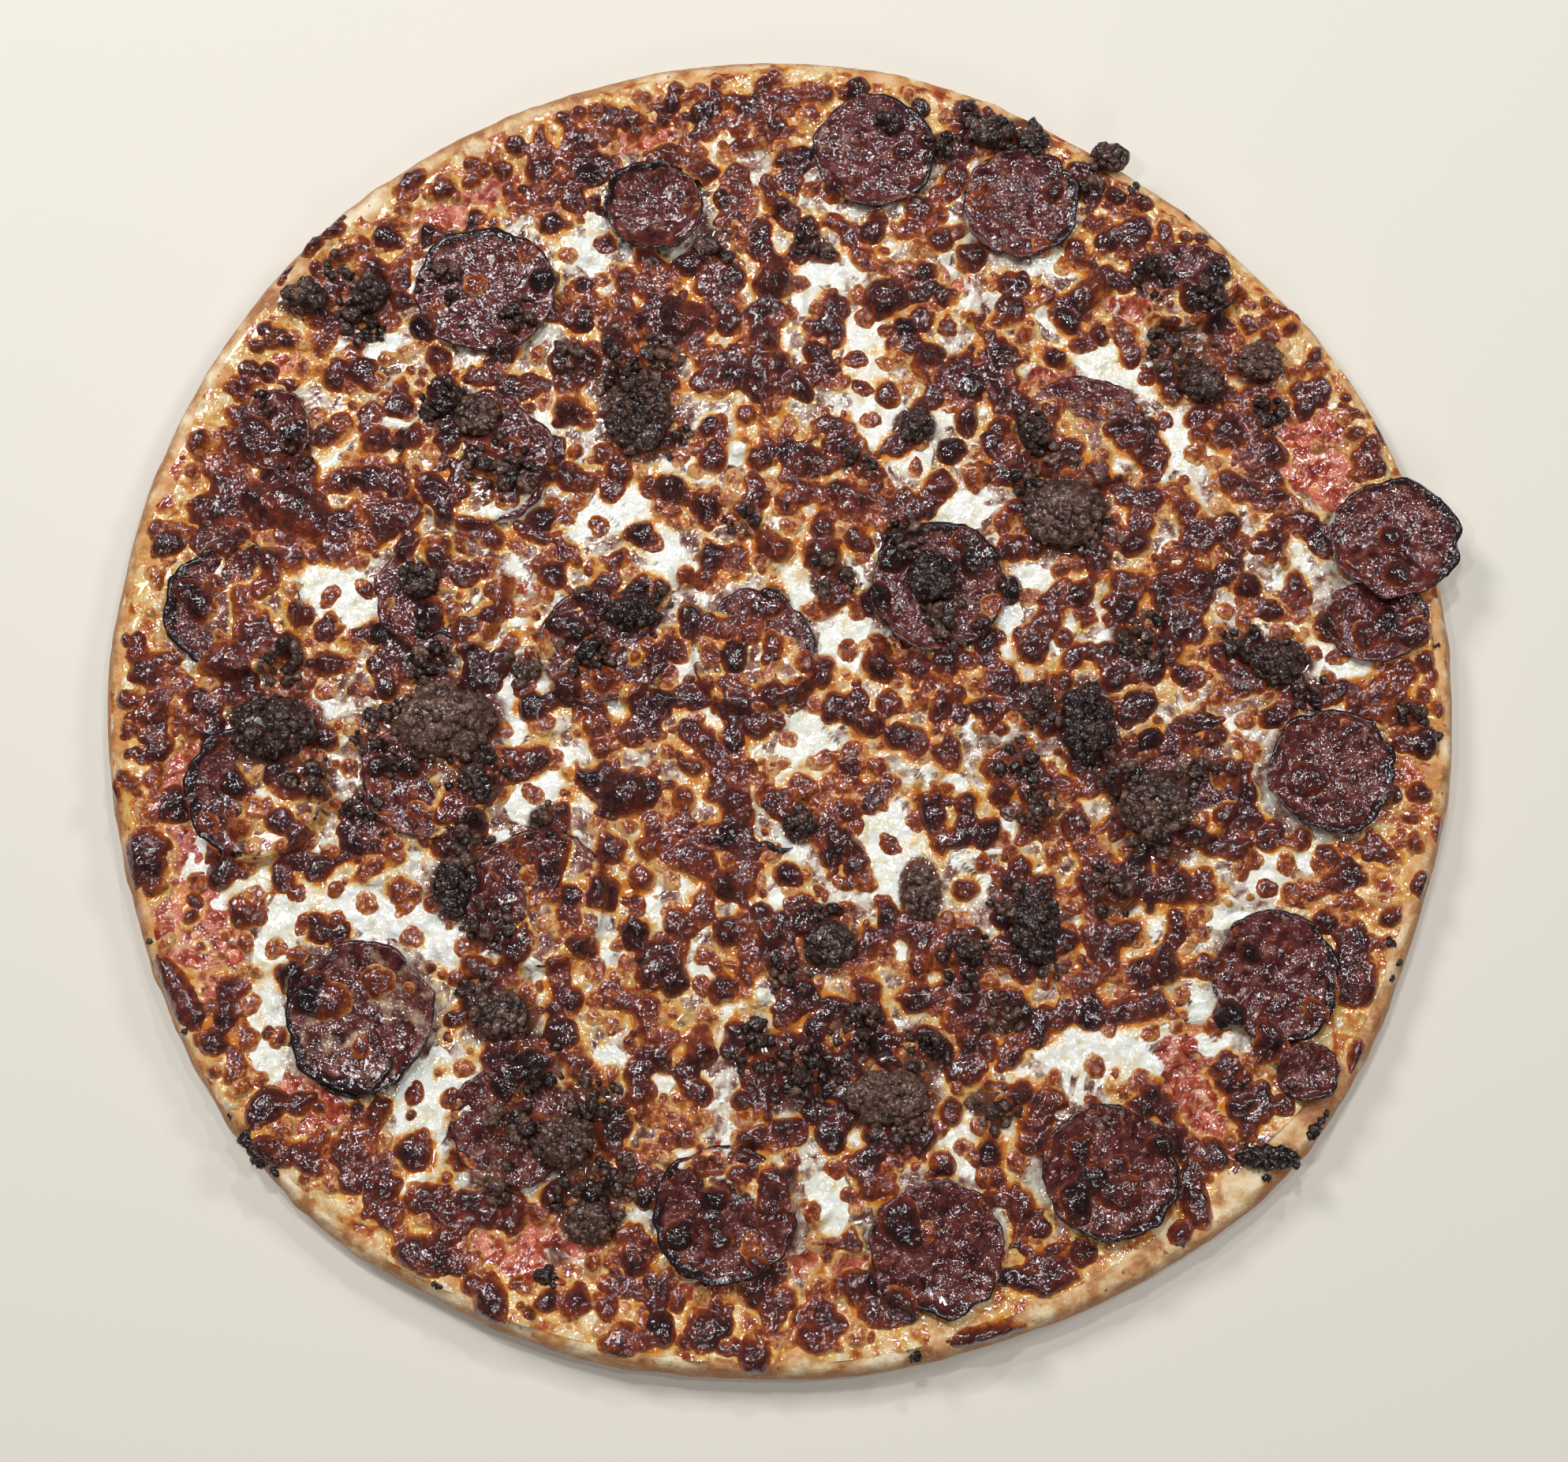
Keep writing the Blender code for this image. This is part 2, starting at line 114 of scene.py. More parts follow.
def bubbles(x, y, size, seed):
    """Distance to the nearest of scattered centres, in sizes, and a random number of that centre."""
    gx = x / size
    gy = y / size
    cx = np.floor(gx).astype(np.int64)
    cy = np.floor(gy).astype(np.int64)
    best = np.full(np.shape(gx), 9.0)
    tag = np.zeros(np.shape(gx))
    for dx in (-1, 0, 1):
        for dy in (-1, 0, 1):
            mixed = scrambled(cx + dx, cy + dy, 0 * cx, seed)
            px = cx + dx + 0.1 + 0.8 * (mixed & 1023) / 1023.0
            py = cy + dy + 0.1 + 0.8 * ((mixed >> 10) & 1023) / 1023.0
            away = np.hypot(gx - px, gy - py)
            nearer = away < best
            best = np.where(nearer, away, best)
            tag = np.where(nearer, ((mixed >> 20) & 1023) / 1023.0, tag)
    return best, tag


def smooth(low, high, value):
    """0 up to a low value, 1 from a high one, and an eased slope between them."""
    share = np.clip((value - low) / (high - low), 0.0, 1.0)
    return share * share * (3.0 - 2.0 * share)


def dome(q):
    """Height of a half ball, 1 in its middle and 0 from q = 1 on."""
    return np.sqrt(np.maximum(0.0, 1.0 - q ** 2))


# Charts: square maps of the pizza seen from above

HALF_CHART = 184.0
CELL = 0.36
CELLS = int(2 * HALF_CHART / CELL) + 1
COLUMN = np.arange(CELLS) * CELL - HALF_CHART
CHART_X, CHART_Y = np.meshgrid(COLUMN, COLUMN)
CHART_R = np.hypot(CHART_X, CHART_Y)
NOTHING = -5.0


class Chart:
    """A value for each cell of the map."""

    def __init__(self, fill=0.0):
        self.cells = np.full((CELLS, CELLS), float(fill)) if np.ndim(fill) == 0 else np.array(fill, float)

    def read(self, x, y):
        """The value at some places, evened between cells."""
        gx = np.clip((np.asarray(x) + HALF_CHART) / CELL, 0, CELLS - 1.001)
        gy = np.clip((np.asarray(y) + HALF_CHART) / CELL, 0, CELLS - 1.001)
        ix = gx.astype(int)
        iy = gy.astype(int)
        fx = gx - ix
        fy = gy - iy
        low = self.cells[iy, ix] * (1 - fx) + self.cells[iy, ix + 1] * fx
        high = self.cells[iy + 1, ix] * (1 - fx) + self.cells[iy + 1, ix + 1] * fx
        return low * (1 - fy) + high * fy

    def soften(self, spread):
        """Blurs the chart over spread millimetres."""
        steps = max(1, int(2 * spread / CELL))
        weights = [math.exp(-((k * CELL / spread) ** 2)) for k in range(-steps, steps + 1)]
        for axis in (0, 1):
            total = np.zeros_like(self.cells)
            for k, weight in zip(range(-steps, steps + 1), weights):
                total += weight * np.roll(self.cells, k, axis)
            self.cells = total / sum(weights)
        return self


def window(x, y, size):
    """The part of every chart round a place, as two slices of its rows and columns."""
    first = [max(0, int((v - size + HALF_CHART) / CELL)) for v in (x, y)]
    last = [min(CELLS, int((v + size + HALF_CHART) / CELL) + 2) for v in (x, y)]
    return slice(first[1], last[1]), slice(first[0], last[0])


def oval(part, x, y, along, across, turn):
    """How many half sizes each cell of a window lies from the middle of an oval, and in which direction."""
    c = math.cos(math.radians(turn))
    s = math.sin(math.radians(turn))
    dx = CHART_X[part] - x
    dy = CHART_Y[part] - y
    u = (dx * c + dy * s) / along
    v = (dy * c - dx * s) / across
    return np.hypot(u, v), np.arctan2(v, u)


def spread_ovals(ovals, full, none):
    """A chart that is 1 inside some ovals (x, y, along, across, turn) and fades to 0 outside."""
    chart = Chart()
    for x, y, along, across, turn in ovals:
        part = window(x, y, max(along, across) * none)
        q, way = oval(part, x, y, along, across, turn)
        chart.cells[part] = np.maximum(chart.cells[part], 1.0 - smooth(full, none, q))
    return chart


def node_mesh(name):
    """Points of a CAD node in millimetres, and its triangles."""
    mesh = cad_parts[name].data
    mesh.calc_loop_triangles()
    points = np.empty(len(mesh.vertices) * 3)
    mesh.vertices.foreach_get("co", points)
    triangles = np.empty(len(mesh.loop_triangles) * 3, int)
    mesh.loop_triangles.foreach_get("vertices", triangles)
    return points.reshape(-1, 3) / MM, triangles.reshape(-1, 3)


def seen_from_above(names):
    """Chart of the highest point of some CAD nodes, and NOTHING where there is none."""
    chart = Chart(NOTHING)
    for name in names:
        points, triangles = node_mesh(name)
        for a, b, c in points[triangles]:
            area = (b[0] - a[0]) * (c[1] - a[1]) - (c[0] - a[0]) * (b[1] - a[1])
            if area < 1e-6:
                continue
            low = np.minimum(np.minimum(a, b), c)
            high = np.maximum(np.maximum(a, b), c)
            middle = (low + high) / 2
            part = window(middle[0], middle[1], max(high[0] - low[0], high[1] - low[1]) / 2)
            px = CHART_X[part]
            py = CHART_Y[part]
            wb = ((px - a[0]) * (c[1] - a[1]) - (c[0] - a[0]) * (py - a[1])) / area
            wc = ((b[0] - a[0]) * (py - a[1]) - (px - a[0]) * (b[1] - a[1])) / area
            inside = (wb >= -1e-6) & (wc >= -1e-6) & (wb + wc <= 1.000001)
            z = a[2] + wb * (b[2] - a[2]) + wc * (c[2] - a[2])
            chart.cells[part] = np.maximum(chart.cells[part], np.where(inside, z, NOTHING))
    return chart


SLICES = sorted(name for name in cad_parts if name.startswith("salami"))
CLUMPS = sorted(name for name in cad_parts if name.startswith("mince"))
dough_heights = seen_from_above(["dough"])
sauce_heights = seen_from_above(["sauce"])
cheese_heights = seen_from_above(["cheese"])
slice_heights = seen_from_above(SLICES)
clump_heights = seen_from_above(CLUMPS)


def place_of(name):
    """Middle and half size of a CAD node, and its lowest and highest height."""
    low, high = (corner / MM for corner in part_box(name))
    middle = (low + high) / 2
    half = (high - low) / 2
    return middle.x, middle.y, half.x, half.y, low.z, high.z


ALL_ROUND = np.arange(0.0, 360.0, 1.0)


def outline_radius(chart, spread):
    """How far out a chart's surface goes at each degree, evened out over some degrees."""
    turn = np.radians(ALL_ROUND)[:, None]
    r = np.arange(90.0, 183.0, 0.3)[None, :]
    there = chart.read(r * np.cos(turn), r * np.sin(turn)) > 1.0
    radii = np.where(there, r, 0.0).max(axis=1)
    return sum(np.roll(radii, step) for step in range(-spread, spread + 1)) / (2 * spread + 1)


def around(outline, directions):
    """An outline's radius in some directions."""
    closed = np.append(outline, outline[0])
    return np.interp(np.asarray(directions) % 360.0, np.append(ALL_ROUND, 360.0), closed)


def direction(x, y):
    return np.degrees(np.arctan2(y, x)) % 360.0


def places_at(r, directions):
    """x and y of places that lie r out from the middle in some directions."""
    turn = np.radians(directions)
    return r * np.cos(turn), r * np.sin(turn)


def film_edge(x, y):
    """How far out the toppings' outline lies in the direction of a place."""
    return around(FILM_OUTLINE, direction(x, y))


CHEESE_OUTLINE = outline_radius(cheese_heights, 3)
SAUCE_OUTLINE = outline_radius(sauce_heights, 3)
DOUGH_OUTLINE = outline_radius(dough_heights, 2)

BARE_CRUST = (  # direction, width of crust without any topping
    (0, 5), (20, 4.5), (40, 4.5), (60, 4.5), (75, 4.5), (90, 5), (105, 7), (120, 8.5), (135, 8.5), (150, 7),
    (165, 5), (180, 5), (195, 4.5), (210, 4.5), (225, 5.5), (240, 6.5), (255, 7.5), (270, 7), (285, 8),
    (300, 10), (315, 13), (330, 8), (345, 6), (360, 5),
)
bare_directions, bare_widths = zip(*BARE_CRUST)
FILM_OUTLINE = DOUGH_OUTLINE - np.interp(ALL_ROUND, bare_directions, bare_widths)


# Features read from the photograph: x, y, half length, half width, turn

WHITE = (
    (23, 88, 6, 15, 5), (24, 72, 5, 9, 0), (87, 86, 15, 4.5, -28), (104, 68, 4, 7, 10),
    (-68, -3, 6, 13, -8), (-62, -30, 8, 6, 20), (-118, 30, 9, 12, 15), (-110, 22, 6, 7, 0),
    (-45, 46, 14, 6, 15), (-30, 34, 5, 9, 20), (-97, 73, 9, 2.5, 20), (-62, 72, 3, 8, 0),
    (-110, 93, 9, 5, 0), (-52, 117, 8, 4, -35), (-50, 126, 3, 8, 20), (6, 28, 5, 6, 0), (8, -16, 6, 13, 0),
    (16, 10, 6, 6, 0), (31, -40, 9, 8, 0), (27, -52, 4, 8, 25), (-126, -62, 5, 22, -20),
    (-104, -58, 22, 6, -12), (-84, -66, 8, 6, -30), (-129, -88, 5, 14, 8), (-88, -106, 7, 14, -12),
    (-90, -120, 6, 8, 0), (78, -92, 16, 6, 8), (88, -98, 8, 4, 0), (48, -113, 13, 5, 22),
    (12, -130, 5, 9, 10), (108, -86, 5, 8, 20), (111, -58, 6, 5, 0), (124, -48, 6, 7, 0),
    (146, 6, 8, 4, -35), (72, 117, 8, 3.5, -40), (-15, 150, 8, 4, 10), (48, 47, 8, 5, 25),
    (58, 16, 4, 12, 5), (-20, -8, 9, 4, -20), (-148, -45, 3, 12, -15), (-136, -52, 10, 3, 30),
    (8, 104, 5, 4, 0), (-1, 93, 3, 5, 0), (-8, 76, 4, 3, 0), (5, 25, 4, 5, 0), (-27, 6, 5, 3, 30),
    (10, -9, 6, 4, 0), (2, -20, 4, 6, 10), (20, 14, 3.5, 7, 0), (24, -38, 6, 5, 0), (-33, -58, 4, 3, 0),
    (30, -68, 5, 3, 20), (53, -52, 4, 3, 0), (60, 19, 3, 4, 0), (-44, -7, 4, 4, 0), (-11, -18, 4, 3, 0),
    (0, -55, 4, 3, 0), (37, -76, 4, 3, 30), (-56, -23, 4, 4, 0), (73, 99, 6, 3, -30), (101, 62, 4, 3, 0),
    (58, 15, 3, 5, 0), (102, 36, 4, 3, 20), (66, 29, 4, 3, 0), (115, 83, 4, 3, 0), (-43, -95, 4, 3, 0),
    (-21, -75, 4, 3, 30), (-72, -41, 4, 3, 0), (-23, -52, 3, 3, 0), (-92, -127, 4, 3, 0),
    (44, -26, 4, 3, 0), (-78, 96, 4, 3, 0), (-24, 132, 4, 3, 0), (44, 128, 4, 3, 0), (-148, 28, 3, 6, 0),
    (-120, 58, 5, 3, 20), (-104, 60, 4, 3, 0), (150, 30, 3, 4, 0), (118, -10, 4, 3, 0), (60, -100, 4, 3, 0),
    (-24, -120, 3, 5, 0), (-30, -100, 4, 3, 0), (-132, -30, 4, 3, 0), (86, 12, 4, 3, 0), (-24, 30, 4, 3, 0),
    (-60, 100, 4, 3, 0), (10, 112, 9, 3, 10), (134, -44, 5, 4, 0), (67, 25, 5, 3, 40), (-95, 0, 6, 3, 0),
    (-58, -20, 7, 3, 30), (2, -42, 5, 4, 0), (70, -30, 3, 4, 0), (-70, 47, 8, 3, 10), (-12, 62, 4, 3, 0),
    (36, 62, 4, 6, 0),
)
DARK = (
    (-85, -5, 28, 18, 0), (-131, -11, 15, 12, 0), (-37, 78, 16, 20, 0), (-80, 66, 22, 18, 0),
    (72, 50, 18, 16, 0), (120, 84, 20, 12, -30), (95, -32, 18, 20, 0), (80, -10, 12, 20, 0),
    (20, -95, 45, 18, 0), (-60, -118, 26, 18, 0), (-65, -85, 20, 14, 0), (65, -62, 12, 16, 0),
    (128, 5, 18, 12, 0), (62, 148, 18, 10, 0), (-118, 106, 18, 8, 0), (40, 28, 16, 14, 0),
    (-45, 15, 16, 12, 0), (-134, 70, 10, 12, 0), (8, -66, 14, 12, 0), (-85, -48, 10, 16, 0),
    (98, 18, 26, 14, 0), (108, 108, 16, 12, 0), (-50, -60, 22, 14, 0), (80, 130, 10, 10, 0),
    (25, 146, 22, 14, 0), (0, 112, 26, 14, 0),
)
SAUCE_SHOWS = (
    (-153, -38, 5, 24, 6), (-147, -66, 9, 18, 22), (-84, 133, 16, 4.5, 27), (-38, 151, 10, 3.5, 14),
    (-128, 88, 6, 5, 0), (-161, 55, 3, 8, -20), (140, 64, 9, 14, 25), (163, -25, 3, 8, 0),
    (-52, -137, 10, 5, -15), (-118, -106, 9, 7, -40), (-66, -143, 12, 4, -24), (12, -145, 9, 4, 0),
    (-18, -152, 8, 3, 0), (106, -108, 8, 7, -45), (-112, 108, 6, 4, 30), (102, -96, 7, 11, -20),
    (46, 112, 5, 4, 0), (-56, -136, 9, 5, 10), (-150, -22, 5, 8, 10), (-140, 32, 4, 7, -30),
    (72, 84, 6, 4, 20), (-66, 24, 6, 3, 0), (-6, -120, 6, 4, 0), (30, 10, 5, 4, 30), (92, 104, 6, 4, -30),
)
HEAPS = (  # crumbs of mince between the clumps: x, y, reach
    (-32, 88, 7), (104, 91, 7), (93, 13, 8), (-59, -36, 6), (85, -53, 7), (47, -71, 8), (-106, -32, 6),
    (56, -84, 6), (53, -107, 6), (5, -98, 10), (162, -7, 4), (67, -32, 7), (50, 158, 4), (82, 137, 5),
    (13, 28, 6), (67, -5, 7), (-69, -126, 5), (-48, -130, 9), (20, -88, 8), (36, -94, 7), (30, -112, 6),
    (-8, -92, 7), (-72, 58, 10), (-88, 74, 8), (-44, 84, 9), (-30, 68, 7), (-100, -14, 10), (-78, -22, 8),
    (-92, 8, 8), (-66, 4, 5), (-128, 4, 7), (-120, -24, 7), (70, 56, 9), (82, 40, 7), (44, 18, 9),
    (32, 38, 7), (-50, 8, 8), (-34, 22, 6), (110, 88, 7), (130, 74, 6), (98, -38, 9), (88, -22, 8),
    (106, -24, 6), (-80, -42, 7), (-74, -62, 7), (-62, -96, 8), (-76, -78, 6), (-46, -108, 9),
    (-66, -112, 8), (-40, -124, 7), (66, -70, 7), (58, -54, 6), (12, -62, 6), (2, -74, 6), (-112, 100, 8),
    (-120, 112, 5), (66, 150, 7), (44, 148, 5), (30, 156, 4), (100, 110, 6), (114, 104, 5), (-138, 74, 5),
    (-128, 62, 5), (118, 10, 6), (136, -2, 5), (-18, 120, 6), (8, 120, 5), (-92, 108, 7), (-70, 100, 6),
    (-56, 90, 5), (20, 60, 5), (-10, 44, 5), (60, -20, 6),
)
OPEN_SLICES = {  # share of a slice that shows
    1: 2.0, 2: 0.45, 3: 0.55, 4: 0.95, 5: 0.35, 6: 2.0, 7: 0.8, 8: 0.95, 9: 0.3, 10: 0.7, 11: 2.0, 12: 0.9,
    13: 0.95, 14: 0.9, 15: 0.95, 16: 0.75, 17: 0.95, 18: 0.3, 19: 0.45, 20: 0.4, 21: 0.6, 22: 0.35, 23: 0.4,
    24: 0.4, 25: 0.4, 26: 2.0, 27: 0.8,
}
OPEN_SIDES = {  # direction in which the rest of a slice shows, how far out from its middle that begins
    2: (180, 0.35), 3: (185, 0.2), 5: (60, 0.2), 9: (100, 0.0), 16: (250, -0.3), 18: (60, 0.3),
    20: (170, 0.25), 22: (200, 0.1), 23: (60, 0.2), 25: (180, 0.0),
}

BROWN_PATCHES = (  # x, y, half length, half width, turn, burn
    (-112.6, -81, 4.6, 4.2, 0, 0.05), (-101, -76, 3.6, 3.4, 0, 0.15), (-142, 6, 6.5, 5.0, 10, 0.3),
    (134, -25, 4.4, 4.0, 0, 0.6), (84, -128, 4.6, 4.0, 0, 0.55), (-40, -28, 7.0, 6.0, 20, 0.55),
    (-2, 110, 5.4, 4.6, 0, 0.6), (28, 106, 5.6, 4.8, 0, 0.5), (-138, -78, 3.8, 3.6, 0, 0.65),
    (-151.5, -79, 10, 3.6, -62, 0.55), (-141, -91, 2.8, 2.8, 0, 0.7), (-128, -107, 5.0, 4.2, 40, 0.75),
    (-126, -118, 5.0, 3.8, 0, 0.8), (-91, -118, 4.2, 4.0, 0, 0.6), (-106, -125, 3.2, 2.8, 0, 0.6),
    (-96, -133, 3.6, 3.2, 0, 0.4), (-88, -129, 3.4, 3.2, 0, 0.6), (-86, -143, 8.5, 4.2, -14, 0.6),
    (-71, -154, 4.0, 6.0, 0, 0.6), (-19, -161, 4.4, 4.4, 0, 0.7), (-39, -163, 5.0, 4.0, 0, 0.35),
    (-6.5, -167, 3.2, 5.2, 0, 0.55), (8.5, -162, 4.6, 4.0, 0, 0.4), (26, -155.5, 6.5, 4.2, 10, 0.5),
    (-50, -154, 3.2, 3.0, 0, 0.5), (29, -134, 4.8, 4.4, 0, 0.75), (51, -162, 8.5, 3.0, 8, 0.6),
    (91, -74, 3.8, 3.6, 0, 0.75), (81, -66, 4.2, 6.4, 15, 0.6), (88, -83, 8.5, 3.0, 5, 0.45),
    (102, -129, 3.4, 6.0, 12, 0.6), (98, -137.5, 2.8, 2.5, 0, 0.55), (65.5, -147, 6.0, 5.2, 20, 0.55),
    (117, -107, 5.2, 4.6, 0, 0.55), (144, -74, 5.6, 8.4, 8, 0.5), (144, -95, 2.2, 3.8, -15, 0.6),
    (-145.5, 49, 9.0, 3.6, 62, 0.65), (-141, 65, 7.0, 6.0, 20, 0.4), (-134, 46, 4.2, 4.0, 0, 0.5),
    (-163, 4.5, 5.0, 3.2, 25, 0.6), (-161, -6, 6.2, 3.6, 55, 0.35), (-154, 25, 2.8, 2.4, 0, 0.8),
    (-163, -45, 8.0, 5.0, 70, 0.5), (-155, -31, 4.6, 4.2, 0, 0.6), (-126, 47, 12.5, 6.6, -36, 0.5),
    (-116, 37, 5.0, 4.6, 0, 0.42), (-52, 88, 3.6, 3.4, 0, 0.6), (-5, 95, 4.4, 5.4, 0, 0.6),
    (-6, 83, 4.2, 7.0, 5, 0.62), (-127, 120, 3.4, 3.0, 0, 0.75), (-120, 125, 2.8, 2.4, 0, 0.75),
    (-132, 112, 3.0, 2.2, 50, 0.6), (-40, 156, 3.2, 2.4, 10, 0.55), (-20, 160, 2.8, 2.2, 0, 0.7),
    (-56, 150, 3.0, 2.4, 20, 0.5), (150, 92, 2.4, 2.0, 0, 0.55), (160, 68, 2.6, 3.8, 25, 0.7),
    (168, -38, 2.4, 3.2, 0, 0.6), (163, -52, 3.0, 3.4, 0, 0.6), (-172, -28, 3.0, 4.4, 0, 0.7),
    (-60, 136, 6.0, 3.2, 20, 0.4), (0, 162, 5.0, 2.4, 0, 0.45), (118, 124, 5.0, 2.6, -40, 0.5),
    (139, 102, 5.0, 2.6, -50, 0.5), (170, 52, 2.4, 4.4, 10, 0.5), (-100, 138, 4.6, 2.4, 40, 0.45),
    (-152, 90, 4.4, 2.4, 60, 0.5), (58, -20, 6.5, 4.0, 30, 0.4), (-22, -45, 6.0, 4.2, -30, 0.4),
    (20, 48, 6.0, 4.0, 20, 0.45), (-100, 46, 5.6, 4.4, 0, 0.5), (46, 84, 6.2, 4.4, 60, 0.5),
    (-24, 100, 5.8, 4.4, -20, 0.5), (96, 64, 6.2, 4.4, -30, 0.5), (110, 40, 5.6, 4.2, 10, 0.55),
    (-30, -70, 6.4, 4.6, 15, 0.55), (-10, -50, 5.6, 4.0, 50, 0.45), (100, -52, 5.0, 4.0, 0, 0.5),
    (46, -86, 5.6, 4.0, 0, 0.5),
)
CHARRED_BITS = (  # x, y, half length, half width, turn
    (-134, -121, 4.5, 2.6, -35), (-129, -126, 2.6, 1.6, 10), (-146, -117, 2.0, 1.4, 60),
    (132, -113, 3.6, 1.8, 25), (136, -110, 2.0, 1.3, 60), (154, -66, 2.0, 1.4, 20),
    (157, -72, 1.8, 1.2, 70), (156, -76, 1.1, 0.9, 0), (-58, -147, 3.2, 2.4, 10), (-55, -149, 1.8, 1.2, 50),
    (33, -167, 2.2, 1.6, 70), (98, -140, 1.4, 1.0, 0), (16, 165, 1.3, 0.9, 0), (-12, 160, 1.2, 0.9, 30),
    (95, 136, 2.0, 1.2, 45), (-154, 22, 1.2, 0.8, 0), (-66, 148, 1.5, 1.0, 0), (50, 158, 2.2, 1.5, 20),
    (-160, -66, 1.6, 1.2, 0), (-152, -90, 1.4, 1.0, 40), (110, 129, 1.6, 1.1, 30),
    (-118, 128, 1.6, 1.0, 50), (-84, -150, 1.6, 1.0, 0), (120, -124, 1.6, 1.2, 0), (168, -14, 1.8, 1.2, 60),
    (170, 10, 1.3, 1.0, 0), (-168, 8, 1.6, 1.1, 80), (-164, 30, 1.4, 1.0, 60),
)

white_chart = spread_ovals(WHITE, 0.7, 1.3)
dark_chart = spread_ovals(DARK, 0.5, 1.2)
sauce_chart = spread_ovals(SAUCE_SHOWS, 0.75, 1.45)
for chart, chart_seed in ((white_chart, 44), (sauce_chart, 47)):
    chart.cells = smooth(0.28, 0.72, chart.cells + 0.55 * waves(CHART_X, CHART_Y, 6.5, chart_seed, 3))
veins = 1.0 - smooth(0.08, 0.20, np.abs(waves(CHART_X, CHART_Y, 15.0, 48, 3)))
veins = veins * smooth(-0.15, 0.15, waves(CHART_X, CHART_Y, 28.0, 49))
veins = veins * (1.0 - smooth(140.0, 156.0, CHART_R))
white_chart.cells = np.maximum(white_chart.cells, 0.6 * veins)


def open_slices():
    """Chart of where the slices show: 1 there, 0 where cheese covers them or there is no slice."""
    ragged = 0.5 + 0.5 * waves(CHART_X, CHART_Y, 8.0, 41, 3)
    chart = Chart()
    for number, share in OPEN_SLICES.items():
        x, y, half_x, half_y, low, high = place_of(f"salami_{number:02d}")
        part = window(x, y, max(half_x, half_y) * 1.2)
        q, way = oval(part, x, y, half_x, half_y, 0)
        showing = smooth(-0.12, 0.12, share * 1.15 - ragged[part]) * (q < 1.15)
        if number in OPEN_SIDES:
            side, start = OPEN_SIDES[number]
            reach = q * np.cos(way - math.radians(side)) + 0.5 * (ragged[part] - 0.5)
            showing = smooth(start - 0.06, start + 0.06, reach) * (q < 1.15)
        chart.cells[part] = np.maximum(chart.cells[part], showing)
    return chart


open_chart = open_slices()
CLEAN_SLICES = (1, 4, 6, 7, 8, 11, 12, 15)
clean_places = [place_of(f"salami_{number:02d}")[:4] for number in CLEAN_SLICES]
clean_chart = spread_ovals([(x, y, half_x, half_y, 0) for x, y, half_x, half_y in clean_places], 0.9, 1.1)


# Meshes

def thinned(ob, most):
    """Merges a mesh's triangles where it is flattest until no more than most are left."""
    count = len(ob.data.polygons)
    if count <= most:
        return
    thinner = ob.modifiers.new("thin", "DECIMATE")
    thinner.ratio = most / count
    bpy.context.view_layer.update()
    full = ob.data
    ob.data = bpy.data.meshes.new_from_object(ob.evaluated_get(bpy.context.evaluated_depsgraph_get()))
    ob.modifiers.clear()
    bpy.data.meshes.remove(full)
    ob.data.shade_smooth()


def piece(name, points, faces, material, masks=None, most=10**7):
    """A mesh piece of the pizza from points in millimetres, triangles and named values at its points."""
    mesh = bpy.data.meshes.new(name)
    points = np.asarray(points, float)
    faces = np.asarray(faces, np.int32)
    mesh.vertices.add(len(points))
    mesh.vertices.foreach_set("co", points.ravel())
    mesh.loops.add(faces.size)
    mesh.loops.foreach_set("vertex_index", faces.ravel())
    mesh.polygons.add(len(faces))
    mesh.polygons.foreach_set("loop_start", np.arange(0, faces.size, 3, dtype=np.int32))
    mesh.update(calc_edges=True)
    for mask, values in (masks or {}).items():
        layer = mesh.attributes.new(mask, "FLOAT", "POINT")
        layer.data.foreach_set("value", np.asarray(values, np.float32))
    mesh.shade_smooth()
    mesh.materials.append(material)
    ob = bpy.data.objects.new(name, mesh)
    bpy.context.scene.collection.objects.link(ob)
    thinned(ob, most)
    ob.data.transform(Matrix.Scale(MM, 4))
    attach(ob, "root")
    return ob


def ring_faces(rings, sectors, first=0):
    """Triangles between closed rings of points, the first ring inside or on top."""
    row = np.arange(rings - 1)[:, None] * sectors + first
    k = np.arange(sectors)[None, :]
    a = row + k
    b = row + (k + 1) % sectors
    c = a + sectors
    d = b + sectors
    return np.concatenate([np.stack([a, c, d], -1).reshape(-1, 3), np.stack([a, d, b], -1).reshape(-1, 3)])


def fan_faces(middle, ring_start, sectors, upward=True):
    """Triangles from one middle point to a ring."""
    k = np.arange(sectors)
    a = ring_start + k
    b = ring_start + (k + 1) % sectors
    m = np.full(sectors, middle)
    return np.stack([m, a, b] if upward else [m, b, a], -1)


class Heap:
    """Many small closed shapes that make one piece."""

    def __init__(self):
        self.points = []
        self.faces = []
        self.masks = {}
        self.count = 0

    def add(self, points, faces, **masks):
        self.points.append(points)
        self.faces.append(faces + self.count)
        self.count += len(points)
        for mask, values in masks.items():
            self.masks.setdefault(mask, []).append(np.broadcast_to(values, len(points)))

    def make(self, name, material):
        masks = {mask: np.concatenate(values) for mask, values in self.masks.items()}
        return piece(name, np.concatenate(self.points), np.concatenate(self.faces), material, masks)


# Materials

def tone(red, green, blue):
    """A screen colour of 0 to 255 as the linear colour a shader takes."""
    def linear(v):
        v = v / 255.0
        return v / 12.92 if v <= 0.04045 else ((v + 0.055) / 1.055) ** 2.4
    return (linear(red), linear(green), linear(blue), 1.0)


